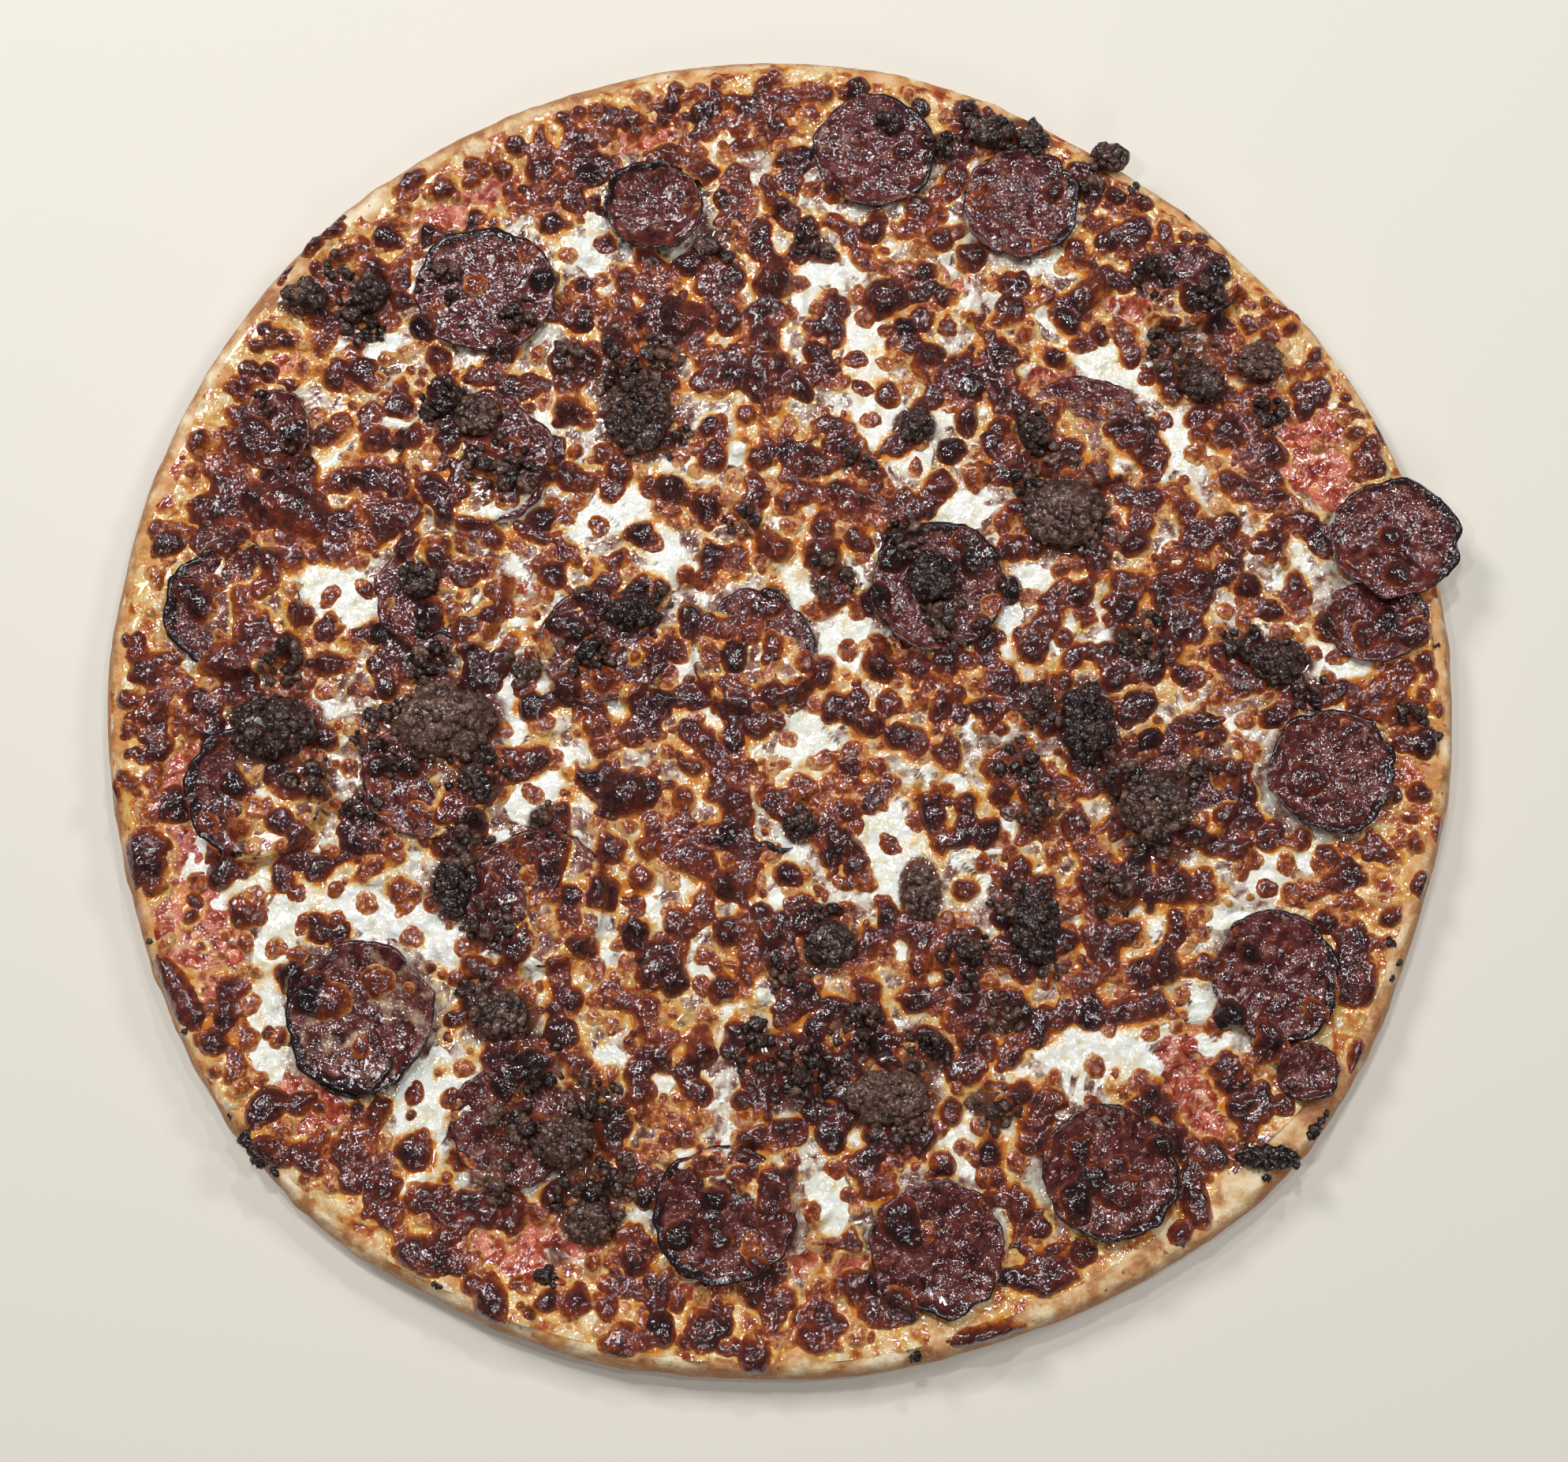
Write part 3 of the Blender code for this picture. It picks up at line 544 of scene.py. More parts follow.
def new_group(name, inputs, outputs):
    """A shader group with float inputs {name: value} and outputs {name: socket type}."""
    group = bpy.data.node_groups.new(name, "ShaderNodeTree")
    for label, value in inputs.items():
        socket = group.interface.new_socket(name=label, in_out="INPUT", socket_type="NodeSocketFloat")
        socket.default_value = value
    for label, kind in outputs.items():
        group.interface.new_socket(name=label, in_out="OUTPUT", socket_type=kind)
    return group, group.nodes.new("NodeGroupInput"), group.nodes.new("NodeGroupOutput")


def make_mottle_group():
    """Noise in space whose grain is a number of millimetres."""
    group, given, out = new_group(
        "Mottle", {"Grain": 4.0, "Detail": 3.0, "Distortion": 0.0, "Shift": 0.0},
        {"Value": "NodeSocketFloat"})
    nodes, links = group.nodes, group.links
    place = nodes.new("ShaderNodeTexCoord")
    scale = nodes.new("ShaderNodeMath")
    scale.operation = "DIVIDE"
    scale.inputs[0].default_value = 1.0 / MM
    links.new(given.outputs["Grain"], scale.inputs[1])
    grain = nodes.new("ShaderNodeTexNoise")
    grain.noise_dimensions = "4D"
    links.new(place.outputs["Object"], grain.inputs["Vector"])
    links.new(scale.outputs[0], grain.inputs["Scale"])
    grain.inputs["Roughness"].default_value = 0.55
    for label, socket in (("Detail", "Detail"), ("Distortion", "Distortion"), ("Shift", "W")):
        links.new(given.outputs[label], grain.inputs[socket])
    links.new(grain.outputs[0], out.inputs["Value"])
    return group


def make_wet_relief_group(mottle):
    """Normal of fine wrinkles over a coarser swell, both in millimetres."""
    group, given, out = new_group(
        "Wet relief", {"Fine grain": 0.5, "Fine depth": 0.1, "Coarse grain": 2.0, "Coarse depth": 0.2},
        {"Normal": "NodeSocketVector"})
    nodes, links = group.nodes, group.links
    normal = None
    for label, shift in (("Coarse", 3.0), ("Fine", 8.0)):
        grain = nodes.new("ShaderNodeGroup")
        grain.node_tree = mottle
        grain.inputs["Shift"].default_value = shift
        grain.inputs["Detail"].default_value = 0.5
        links.new(given.outputs[f"{label} grain"], grain.inputs["Grain"])
        depth = nodes.new("ShaderNodeMath")
        depth.operation = "MULTIPLY"
        depth.inputs[1].default_value = MM
        links.new(given.outputs[f"{label} depth"], depth.inputs[0])
        bump = nodes.new("ShaderNodeBump")
        links.new(grain.outputs["Value"], bump.inputs["Height"])
        links.new(depth.outputs[0], bump.inputs["Distance"])
        if normal:
            links.new(normal, bump.inputs["Normal"])
        normal = bump.outputs["Normal"]
    links.new(normal, out.inputs["Normal"])
    return group


MOTTLE = make_mottle_group()
WET_RELIEF = make_wet_relief_group(MOTTLE)


class Finish:
    """A material and short words for the nodes it is made of."""

    def __init__(self, name, roughness, specular=0.5, wet=0.0, film=0.06):
        self.material = bpy.data.materials.new(name)
        self.material.use_nodes = True
        self.nodes = self.material.node_tree.nodes
        self.links = self.material.node_tree.links
        self.shader = self.nodes["Principled BSDF"]
        self.shader.inputs["Roughness"].default_value = roughness
        self.shader.inputs["Specular IOR Level"].default_value = specular
        self.shader.inputs["Coat Weight"].default_value = wet
        self.shader.inputs["Coat Roughness"].default_value = film

    def put(self, value, socket):
        if isinstance(value, bpy.types.NodeSocket):
            self.links.new(value, socket)
        else:
            socket.default_value = value

    def mask(self, name):
        node = self.nodes.new("ShaderNodeAttribute")
        node.attribute_name = name
        return node.outputs["Fac"]

    def group(self, tree, *values):
        """A node of a shader group. Its inputs are given in order."""
        node = self.nodes.new("ShaderNodeGroup")
        node.node_tree = tree
        for value, socket in zip(values, node.inputs):
            socket.default_value = value
        return node

    def mottle(self, grain, detail=3.0, distortion=0.0, shift=0.0):
        return self.group(MOTTLE, grain, detail, distortion, shift).outputs["Value"]

    def math(self, operation, a, b=0.0, c=0.0):
        node = self.nodes.new("ShaderNodeMath")
        node.operation = operation
        for value, socket in zip((a, b, c), node.inputs):
            self.put(value, socket)
        return node.outputs[0]

    def fit(self, value, low, high):
        """0 up to a low value, 1 from a high one, and an eased slope between them."""
        node = self.nodes.new("ShaderNodeMapRange")
        node.interpolation_type = "SMOOTHSTEP"
        for given, socket in zip((value, low, high), node.inputs):
            self.put(given, socket)
        return node.outputs[0]

    def edged(self, name, grain, amount, low, high, shift=0.0):
        """A mask with an uneven edge, made by adding noise to it before it is cut."""
        uneven = self.math("MULTIPLY_ADD", self.mottle(grain, 4.0, shift=shift), amount, self.mask(name))
        return self.fit(uneven, low + amount / 2, high + amount / 2)

    def stirred(self, value, amount, grain, detail, shift=0.0):
        """A value with noise of that amount added, half of it up and half down."""
        noise = self.math("MULTIPLY_ADD", self.mottle(grain, detail, shift=shift), amount, -amount / 2)
        return self.math("ADD", value, noise)

    def ramp(self, value, stops):
        """Colours for a value of 0 to 1. A stop is its place, red, green and blue."""
        node = self.nodes.new("ShaderNodeValToRGB")
        line = node.color_ramp
        while len(line.elements) < len(stops):
            line.elements.new(0.5)
        for element, (place, *colour) in zip(line.elements, stops):
            element.position = place
            element.color = tone(*colour)
        self.links.new(value, node.inputs["Fac"])
        return node.outputs["Color"]

    def mix(self, share, a, b, blend="MIX"):
        """Colour a with a share of colour b, which may be plain red, green and blue."""
        node = self.nodes.new("ShaderNodeMix")
        node.data_type = "RGBA"
        node.blend_type = blend
        self.put(share, node.inputs[0])
        self.put(a, node.inputs[6])
        self.put(tone(*b) if isinstance(b, tuple) else b, node.inputs[7])
        return node.outputs[2]

    def relief(self, fine, fine_depth, coarse, coarse_depth):
        node = self.group(WET_RELIEF, fine, fine_depth, coarse, coarse_depth)
        self.links.new(node.outputs["Normal"], self.shader.inputs["Normal"])

    def colour(self, colour):
        self.put(colour, self.shader.inputs["Base Color"])


def make_dough_finish():
    f = Finish("baked_dough", roughness=0.55, specular=0.4)
    base = f.ramp(f.mottle(9.0, 5.0, distortion=0.4), [
        (0.36, 234, 216, 182), (0.46, 218, 184, 136), (0.53, 194, 142, 88), (0.61, 156, 98, 54)])
    base = f.mix(f.edged("browning", 7.0, 1.5, 0.40, 1.15, shift=4.0), base, (166, 108, 62))
    oil = f.edged("oil", 6.0, 0.9, 0.35, 0.9, shift=2.0)
    base = f.mix(f.math("MULTIPLY", oil, 0.6), base, (206, 136, 62))
    flour = f.fit(f.mottle(1.1, 3.0, shift=17.0), 0.56, 0.66)
    base = f.mix(f.math("MULTIPLY", flour, 0.16), base, (244, 232, 210))
    specks = f.fit(f.mottle(1.8, 2.0, shift=9.0), 0.64, 0.70)
    base = f.mix(f.math("MULTIPLY", specks, 0.75), base, (112, 62, 38))
    f.colour(base)
    f.relief(0.9, 0.25, 3.4, 1.3)
    return f.material


def make_sauce_finish():
    f = Finish("tomato_sauce", roughness=0.12, specular=0.7, wet=0.5, film=0.03)
    base = f.ramp(f.mottle(5.0, 5.0, distortion=0.6), [
        (0.30, 150, 52, 38), (0.46, 186, 84, 64), (0.58, 206, 122, 92), (0.72, 226, 176, 140)])
    base = f.mix(f.fit(f.mottle(7.0, 3.0, shift=15.0), 0.50, 0.66), base, (206, 124, 50))
    base = f.mix(f.fit(f.mottle(2.2, 3.0, shift=5.0), 0.60, 0.68), base, (110, 46, 36))
    f.colour(base)
    f.relief(0.6, 0.25, 2.4, 0.8)
    return f.material


def make_cheese_finish():
    f = Finish("melted_cheese", roughness=0.1, specular=0.6, wet=0.5, film=0.03)
    film = f.ramp(f.mottle(4.0, 5.0, distortion=0.5), [
        (0.33, 86, 50, 43), (0.43, 128, 86, 73), (0.50, 176, 144, 125), (0.59, 220, 211, 194)])
    meat = f.ramp(f.mottle(4.5, 6.0, distortion=0.7, shift=11.0), [
        (0.32, 84, 42, 37), (0.46, 116, 64, 54), (0.58, 152, 104, 88), (0.72, 208, 186, 168)])
    gold = f.ramp(f.mottle(5.0, 5.0, distortion=0.4, shift=12.0), [
        (0.32, 120, 50, 34), (0.41, 172, 84, 44), (0.48, 206, 136, 66), (0.56, 226, 190, 130),
        (0.66, 234, 218, 182)])
    red = f.ramp(f.mottle(4.5, 6.0, distortion=1.2, shift=31.0), [
        (0.34, 110, 34, 26), (0.44, 154, 56, 36), (0.54, 182, 90, 60), (0.68, 220, 172, 134)])
    curd = f.ramp(f.mottle(3.0, 4.0, shift=6.0), [
        (0.30, 214, 196, 146), (0.42, 232, 226, 206), (0.56, 238, 237, 229)])
    base = f.mix(f.fit(f.mask("meat"), 0.3, 0.7), film, meat)
    base = f.mix(f.edged("gold", 6.0, 0.5, 0.25, 0.75, shift=13.0), base, gold)
    base = f.mix(f.edged("red", 4.5, 1.1, 0.30, 0.62, shift=33.0), base, red)
    grain = f.fit(f.mottle(1.0, 3.0, shift=50.0), 0.40, 0.62)
    base = f.mix(f.math("MULTIPLY", grain, 0.22), base, (140, 92, 70), "MULTIPLY")
    base = f.mix(f.edged("white", 4.0, 0.9, 0.32, 0.58, shift=1.5), base, curd)
    amber = f.math("MULTIPLY", f.mask("halo"), 0.6)
    amber = f.math("MULTIPLY_ADD", f.mottle(4.0, 4.0, shift=2.5), 1.1, amber)
    amber = f.math("MULTIPLY_ADD", f.mottle(13.0, 2.0, shift=21.0), 1.2, amber)
    yellow = f.fit(amber, 1.28, 1.46)
    base = f.mix(f.math("MULTIPLY", yellow, 0.75), base, (224, 182, 100))
    base = f.mix(f.fit(amber, 1.44, 1.60), base, (200, 118, 36))
    base = f.mix(f.fit(amber, 1.66, 1.84), base, (140, 64, 28))
    stain = f.edged("stain", 3.5, 0.6, 0.30, 0.85, shift=7.5)
    base = f.mix(stain, base, (106, 62, 44))
    f.colour(base)
    f.relief(0.9, 0.20, 2.6, 1.0)
    return f.material


def make_blister_finish(name, lift):
    """Browned cheese: amber at its foot, brown to nearly black on top."""
    f = Finish(name, roughness=0.1, specular=0.5, wet=0.3, film=0.03)
    toast = f.math("MULTIPLY_ADD", f.mask("rise"), 0.50, f.math("MULTIPLY_ADD", f.mask("burn"), 0.50, lift))
    toast = f.math("MULTIPLY_ADD", f.mask("depth"), 0.20, toast)
    toast = f.math("MULTIPLY_ADD", f.mask("on_meat"), 0.14, toast)
    toast = f.stirred(toast, 0.9, 2.0, 5.0)
    toast = f.stirred(toast, 0.9, 8.0, 2.0, shift=40.0)
    toast = f.stirred(toast, 0.5, 0.9, 2.0, shift=45.0)
    base = f.ramp(toast, [
        (0.00, 198, 150, 98), (0.10, 176, 104, 48), (0.22, 148, 70, 32), (0.36, 116, 52, 33),
        (0.54, 86, 39, 32), (0.76, 56, 28, 27), (1.0, 32, 18, 19)])
    f.colour(base)
    f.relief(0.8, 0.22, 2.2, 0.7)
    return f.material


def make_salami_finish():
    f = Finish("baked_salami", roughness=0.13, specular=0.5, wet=0.2, film=0.04)
    meat = f.ramp(f.mottle(3.2, 5.0, distortion=0.5), [
        (0.34, 44, 18, 18), (0.45, 74, 31, 29), (0.57, 98, 47, 41), (0.70, 136, 90, 76)])
    fat = f.fit(f.mottle(1.7, 2.0, shift=3.3), 0.62, 0.70)
    base = f.mix(f.math("MULTIPLY", fat, 0.55), meat, (150, 100, 86))
    base = f.mix(f.edged("veil", 6.0, 1.2, 0.45, 0.75, shift=5.5), base, (188, 156, 128))
    base = f.mix(f.edged("char", 2.0, 0.5, 0.40, 0.8, shift=8.0), base, (40, 22, 23))
    f.colour(base)
    f.relief(0.8, 0.22, 2.2, 0.7)
    return f.material


def make_mince_finish():
    f = Finish("roasted_mince", roughness=0.16, specular=0.45, wet=0.1, film=0.05)
    toast = f.math("MULTIPLY_ADD", f.mottle(1.4, 4.0), 0.9, f.math("MULTIPLY", f.mask("burn"), -0.35))
    base = f.ramp(toast, [
        (0.04, 24, 17, 17), (0.20, 48, 33, 29), (0.36, 78, 54, 45), (0.54, 122, 92, 76)])
    f.colour(base)
    f.relief(0.7, 0.30, 1.7, 0.7)
    return f.material


DOUGH_FINISH = make_dough_finish()
SAUCE_FINISH = make_sauce_finish()
CHEESE_FINISH = make_cheese_finish()
GOLDEN_FINISH = make_blister_finish("golden_cheese", -0.34)
BROWN_FINISH = make_blister_finish("browned_cheese", -0.25)
SALAMI_FINISH = make_salami_finish()
MINCE_FINISH = make_mince_finish()


# Places for everything that is scattered

MASS_SIZE = 9.0
MASS_SHARE = 0.17  # raised, browned cheese covers more
SHY_OF = ((white_chart, 1.5), (open_chart, 0.45), (sauce_chart, 0.9), (clean_chart, 0.5))


def mass_field(x, y):
    """Where browned cheese gathers: above 0 inside the masses."""
    field = waves(x, y, MASS_SIZE, 51, 3) + MASS_SHARE
    for chart, share in SHY_OF:
        field = field - share * chart.read(x, y)
    field = field - 0.3 * smooth(-15.0, -5.0, np.hypot(x, y) - film_edge(x, y))
    return field


class Spots:
    """Round places already taken."""

    def __init__(self):
        self.taken = np.zeros((0, 3))

    def add(self, x, y, r):
        self.taken = np.vstack([self.taken, (x, y, r)])

    def free(self, x, y, r, overlap):
        away = np.hypot(self.taken[:, 0] - x, self.taken[:, 1] - y)
        return bool((away > (self.taken[:, 2] + r) * overlap).all())


def scatter(spots, draw, wants, wanted, sizes, overlap, edge_gap=0.0, tries=9000):
    """Round places of some sizes inside the film's outline. wants(x, y) is how likely each is kept."""
    turn = draw.uniform(0.0, math.tau, tries)
    edge = around(FILM_OUTLINE, np.degrees(turn)) + edge_gap
    r = edge * np.sqrt(draw.uniform(size=tries))
    x = r * np.cos(turn)
    y = r * np.sin(turn)
    size = sizes[0] + (sizes[1] - sizes[0]) * draw.uniform(size=tries) ** 1.5
    kept = (draw.uniform(size=tries) < wants(x, y)) & (r + 0.7 * size < edge)
    order = np.argsort(-size[kept], kind="stable")
    found = []
    for px, py, reach in np.stack([x[kept], y[kept], size[kept]], -1)[order]:
        if len(found) == wanted:
            break
        if spots.free(px, py, reach, overlap):
            spots.add(px, py, reach)
            found.append((px, py, reach))
    return found


class Blisters:
    """Bubbles of browned cheese that grow together, as charts of their height, foot and burn."""

    def __init__(self, foot_height):
        self.foot_height = foot_height
        self.dome = Chart()
        self.foot = Chart()
        self.burn = Chart()

    def add(self, x, y, r, tall, burn, draw, foot=0.7):
        self.patch((x, y, r, r * draw.uniform(0.68, 1.0), draw.uniform(0.0, 180.0)), tall, burn, draw, foot)

    def patch(self, place, tall, burn, draw, foot):
        x, y, along, across, turn = place
        r = min(along, across)
        part = window(x, y, max(along, across) * 1.3 + foot * 1.5)
        q, way = oval(part, x, y, along, across, turn)
        lean = draw.uniform(0.0, math.tau, 3)
        q = q * (1.0 + 0.06 * np.sin(2 * way + lean[0]) + 0.05 * np.sin(3 * way + lean[1])
                 + 0.03 * np.sin(5 * way + lean[2]))
        h = tall * dome(q)
        higher = h > self.dome.cells[part]
        self.dome.cells[part] = np.where(higher, h, self.dome.cells[part])
        near = 1.0 - smooth(0.85, 1.0 + foot * 1.3 / r, q)
        stronger = near > self.foot.cells[part]
        self.burn.cells[part] = np.where(stronger | higher, burn, self.burn.cells[part])
        self.foot.cells[part] = np.maximum(self.foot.cells[part], near)

    def settle(self, seed):
        """Blends the bubbles, adds the small ones on them and works out the height and colour charts."""
        self.foot.soften(0.4)
        self.dome.soften(0.3)
        self.burn.soften(1.2)
        foot = smooth(0.12, 0.75, self.foot.cells)
        wobble = 0.4 * waves(CHART_X, CHART_Y, 2.2, seed)
        away, tag = bubbles(CHART_X + wobble, CHART_Y - wobble, 1.45, seed + 1)
        small = dome(away / 0.62) * (tag > 0.35) * (0.4 + 0.6 * tag)
        away, tag = bubbles(CHART_X - 2.0 * wobble, CHART_Y + wobble, 2.7, seed + 5)
        small = 0.75 * small + dome(away / 0.60) * (tag > 0.5)
        fuzz = waves(CHART_X, CHART_Y, 1.4, seed + 2, 2)
        height = self.foot_height * foot + self.dome.cells + (0.52 * small + 0.30 * fuzz) * foot
        self.height = Chart(height)
        deep = Chart(smooth(0.0, 0.6, self.foot.cells)).soften(1.7)
        self.depth = Chart(smooth(0.35, 1.0, deep.cells))
        rise = 0.34 * foot * self.foot_height + 0.24 * self.dome.cells + (0.26 * small + 0.12 * fuzz) * foot
        self.rise = Chart(np.clip(rise, 0, 1.3))


def plan_blisters():
    draw = np.random.default_rng(SEED)
    golden = Blisters(0.4)
    brown = Blisters(0.7)
    spots = Spots()
    for name in CLUMPS:
        x, y, half_x, half_y, low, high = place_of(name)
        spots.add(x, y, (half_x + half_y) / 2 * 0.8)

    def likes_masses(x, y):
        return smooth(-0.10, 0.25, mass_field(x, y)) * 0.98 + 0.015

    def likes_rim(x, y):
        inset = film_edge(x, y) - np.hypot(x, y)
        clear = (1.0 - 0.8 * sauce_chart.read(x, y)) * (1.0 - open_chart.read(x, y))
        return smooth(-0.2, 0.3, waves(x, y, 7.0, 57) + 0.25) * (inset < 16) * clear

    def likes_golden(x, y):
        near = np.abs(mass_field(x, y) + 0.1) < 0.35
        shy = 0.5 * white_chart.read(x, y) + 1.6 * open_chart.read(x, y) + 0.6 * sauce_chart.read(x, y)
        return 0.1 + 0.8 * near - shy

    def likes_white(x, y):
        return smooth(0.3, 0.9, white_chart.read(x, y))

    def burn_at(x, y):
        base = 0.52 + 0.26 * float(dark_chart.read(x, y)) + 0.34 * float(waves(x, y, 20.0, 53, 2))
        base += 0.3 * float(open_chart.read(x, y))
        return float(np.clip(base + draw.normal() * 0.16, 0.05, 1.0))

    for x, y, r in scatter(spots, draw, likes_masses, 540, (1.8, 3.3), 0.95, edge_gap=-2.0, tries=12000):
        burn = burn_at(x, y)
        way = draw.uniform(0.0, math.tau)
        for bead in range(int(draw.integers(2, 6))):
            bead_r = r * draw.uniform(0.7, 1.1)
            bead_burn = float(np.clip(burn + draw.normal() * 0.08, 0, 1))
            brown.add(x, y, bead_r, 0.24 * bead_r + 0.3, bead_burn, draw, 0.8)
            way += draw.normal() * 0.5
            x += 0.9 * r * math.cos(way)
            y += 0.9 * r * math.sin(way)
            if float(mass_field(x, y)) < -0.35 or math.hypot(x, y) > float(film_edge(x, y)) - 2.0:
                break
    proud = Spots()
    for x, y, r in scatter(proud, draw, likes_masses, 420, (1.5, 4.0), 1.15, edge_gap=-0.5):
        brown.add(x, y, r, 0.36 * r + 0.6, burn_at(x, y) + 0.12, draw, foot=0.9)
    for x, y, r in scatter(proud, draw, likes_masses, 1100, (0.6, 1.2), 1.1, tries=12000):
        brown.add(x, y, r, 0.6 * r + 0.2, burn_at(x, y), draw, foot=0.6)
    for x, y, r in scatter(spots, draw, likes_rim, 220, (0.9, 2.8), 0.75, edge_gap=1.0):
        target = brown if draw.uniform() < 0.45 else golden
        target.add(x, y, r, 0.42 * r + 0.2, burn_at(x, y), draw, foot=0.8)

    for x, y, r in scatter(Spots(), draw, likes_golden, 640, (0.9, 2.6), 0.9):
        golden.add(x, y, r, 0.30 * r + 0.1, burn_at(x, y) * 0.7, draw, foot=0.9)
    for x, y, r in scatter(Spots(), draw, likes_white, 190, (1.0, 2.8), 1.5, edge_gap=-2.0):
        golden.add(x, y, r, 0.14 * r + 0.1, float(draw.uniform(0.45, 0.8)), draw, foot=0.9)
    for x, y, along, across, turn, burn in BROWN_PATCHES:
        tall = 0.9 + 0.22 * min(along, across)
        brown.patch((x, y, along, across, turn), tall, burn, draw, 1.2)
    lumps = cheese_heights.cells - Chart(cheese_heights.cells).soften(7.0).cells
    lumps = smooth(0.35, 0.9, lumps) * (cheese_heights.cells > 1.0) * (slice_heights.cells < 1.0)
    lumps = lumps * (CHART_R < film_edge(CHART_X, CHART_Y) - 12.0)
    lumps = lumps * smooth(-0.5, -0.1, mass_field(CHART_X, CHART_Y))
    brown.foot.cells = np.maximum(brown.foot.cells, lumps)
    brown.burn.cells = np.where(brown.burn.cells < 0.1, 0.55 * lumps, brown.burn.cells)
    golden.settle(81)
    brown.settle(91)
    return golden, brown


golden_blisters, brown_blisters = plan_blisters()
halo_chart = Chart(smooth(0.0, 0.4, brown_blisters.foot.cells)).soften(1.5)
stain_chart = spread_ovals([(x, y, r, r, 0) for x, y, r in HEAPS], 0.7, 1.3)
clump_ovals = []
for clump_name in CLUMPS:
    x, y, half_x, half_y, low, high = place_of(clump_name)
    clump_ovals.append((x, y, half_x, half_y, 0))
stain_chart.cells = np.maximum(stain_chart.cells, spread_ovals(clump_ovals, 0.9, 1.5).cells)


# Melted cheese: one sheet that runs under, round and over the toppings

CHEESE_CELLS = 306    # along each side of the cheese's square lattice
MOST_CHEESE = 138000  # triangles
MOST_GOLDEN = 64000
MOST_BROWN = 188000
SKIN_SINKS = 0.30     # how far the browned skin sits into the melted cheese
SKIN_FROM = 0.16      # height from which the skin shows


def cheese_surface():
    """Charts of the cheese's height and of how far it covers meat."""
    x, y, r = CHART_X, CHART_Y, CHART_R
    directions = direction(x, y)
    edge = around(FILM_OUTLINE, directions)
    edge = edge + 3.2 * waves(*places_at(17.0, directions), 1.0, 21, 2)
    cad_edge = around(CHEESE_OUTLINE, directions)
    pulled = np.minimum(1.0, (cad_edge - 3.0) / np.maximum(r, 1.0))
    inner = cheese_heights.read(x * pulled, y * pulled)
    below = np.maximum(sauce_heights.cells, dough_heights.cells + 0.3)
    outward = smooth(-2.0, 6.0, r - cad_edge)
    top = inner * (1.0 - outward) + (below + 0.4) * outward
    away, tag = bubbles(x, y, 3.4, 24)
    relief = 0.50 * waves(x, y, 5.5, 22, 2) + 0.24 * waves(x, y, 2.1, 23)
    relief = relief + 0.45 * dome(away / 0.7) * (tag > 0.3)
    relief = relief * (0.5 + 0.5 * (1.0 - outward))
    relief = relief * (1.0 - 0.7 * smooth(0.3, 0.9, brown_blisters.foot.cells))
    on_slice = slice_heights.cells > 1.0
    covered = Chart(on_slice * (1.0 - open_chart.cells)).soften(0.5)
    top = top + relief
    over = slice_heights.cells + 0.6 + 0.7 * np.abs(relief)
    top = np.where(on_slice & (covered.cells > 0.45), np.maximum(top, over), top)
    hidden = on_slice & (covered.cells <= 0.45)
    top = np.where(hidden, np.minimum(top, slice_heights.cells - 0.6), top)
    ragged = sauce_chart.cells + 0.6 * waves(x, y, 5.0, 26, 3)
    top = top - smooth(0.95, 1.2, ragged) * (np.maximum(0.0, top - below) + 0.5)
    thin = smooth(0.0, 3.0, edge - r)
    top = top * thin + (below - 0.35) * (1.0 - thin)
    surface = Chart(top).soften(0.35)
    gold = smooth(-20.0, -5.0, r - edge) * (1.0 - 0.75 * white_chart.cells)
    return surface, covered, Chart(gold)


cheese_chart, meat_chart, gold_chart = cheese_surface()
bare_slices = np.where(open_chart.cells > 0.4, slice_heights.cells, NOTHING)
food_layers = (cheese_chart.cells, dough_heights.cells, sauce_heights.cells, bare_slices)
food_chart = Chart(np.maximum.reduce(food_layers)).soften(0.6)


def square_in_circle(n):
    """A square lattice pressed evenly into a circle of radius 1, and its triangles."""
    line = np.linspace(-1.0, 1.0, n + 1)
    a, b = np.meshgrid(line, line)
    wide = np.abs(a) > np.abs(b)
    r = np.where(wide, a, b)
    with np.errstate(divide="ignore", invalid="ignore"):
        turn = np.where(wide, math.pi / 4 * b / a, math.pi / 2 - math.pi / 4 * a / b)
    turn = np.nan_to_num(turn)
    x = (r * np.cos(turn)).ravel()
    y = (r * np.sin(turn)).ravel()
    index = np.arange((n + 1) ** 2).reshape(n + 1, n + 1)
    p, q = index[:-1, :-1].ravel(), index[:-1, 1:].ravel()
    s, t = index[1:, :-1].ravel(), index[1:, 1:].ravel()
    faces = np.concatenate([np.stack([p, q, t], -1), np.stack([p, t, s], -1)])
    return x, y, faces


def make_cheese():
    """The melted cheese, with a mask for each of its colours."""
    ux, uy, faces = square_in_circle(CHEESE_CELLS)
    directions = direction(ux, uy)
    x, y = places_at(np.hypot(ux, uy) * (around(FILM_OUTLINE, directions) + 2.5), directions)
    points = np.stack([x, y, cheese_chart.read(x, y)], -1)
    charts = {
        "white": white_chart, "halo": halo_chart, "stain": stain_chart, "meat": meat_chart,
        "gold": gold_chart, "red": sauce_chart,
    }
    masks = {mask: chart.read(x, y) for mask, chart in charts.items()}
    ob = piece("cheese_layer", points, faces, CHEESE_FINISH, masks, MOST_CHEESE)
    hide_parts("cheese")


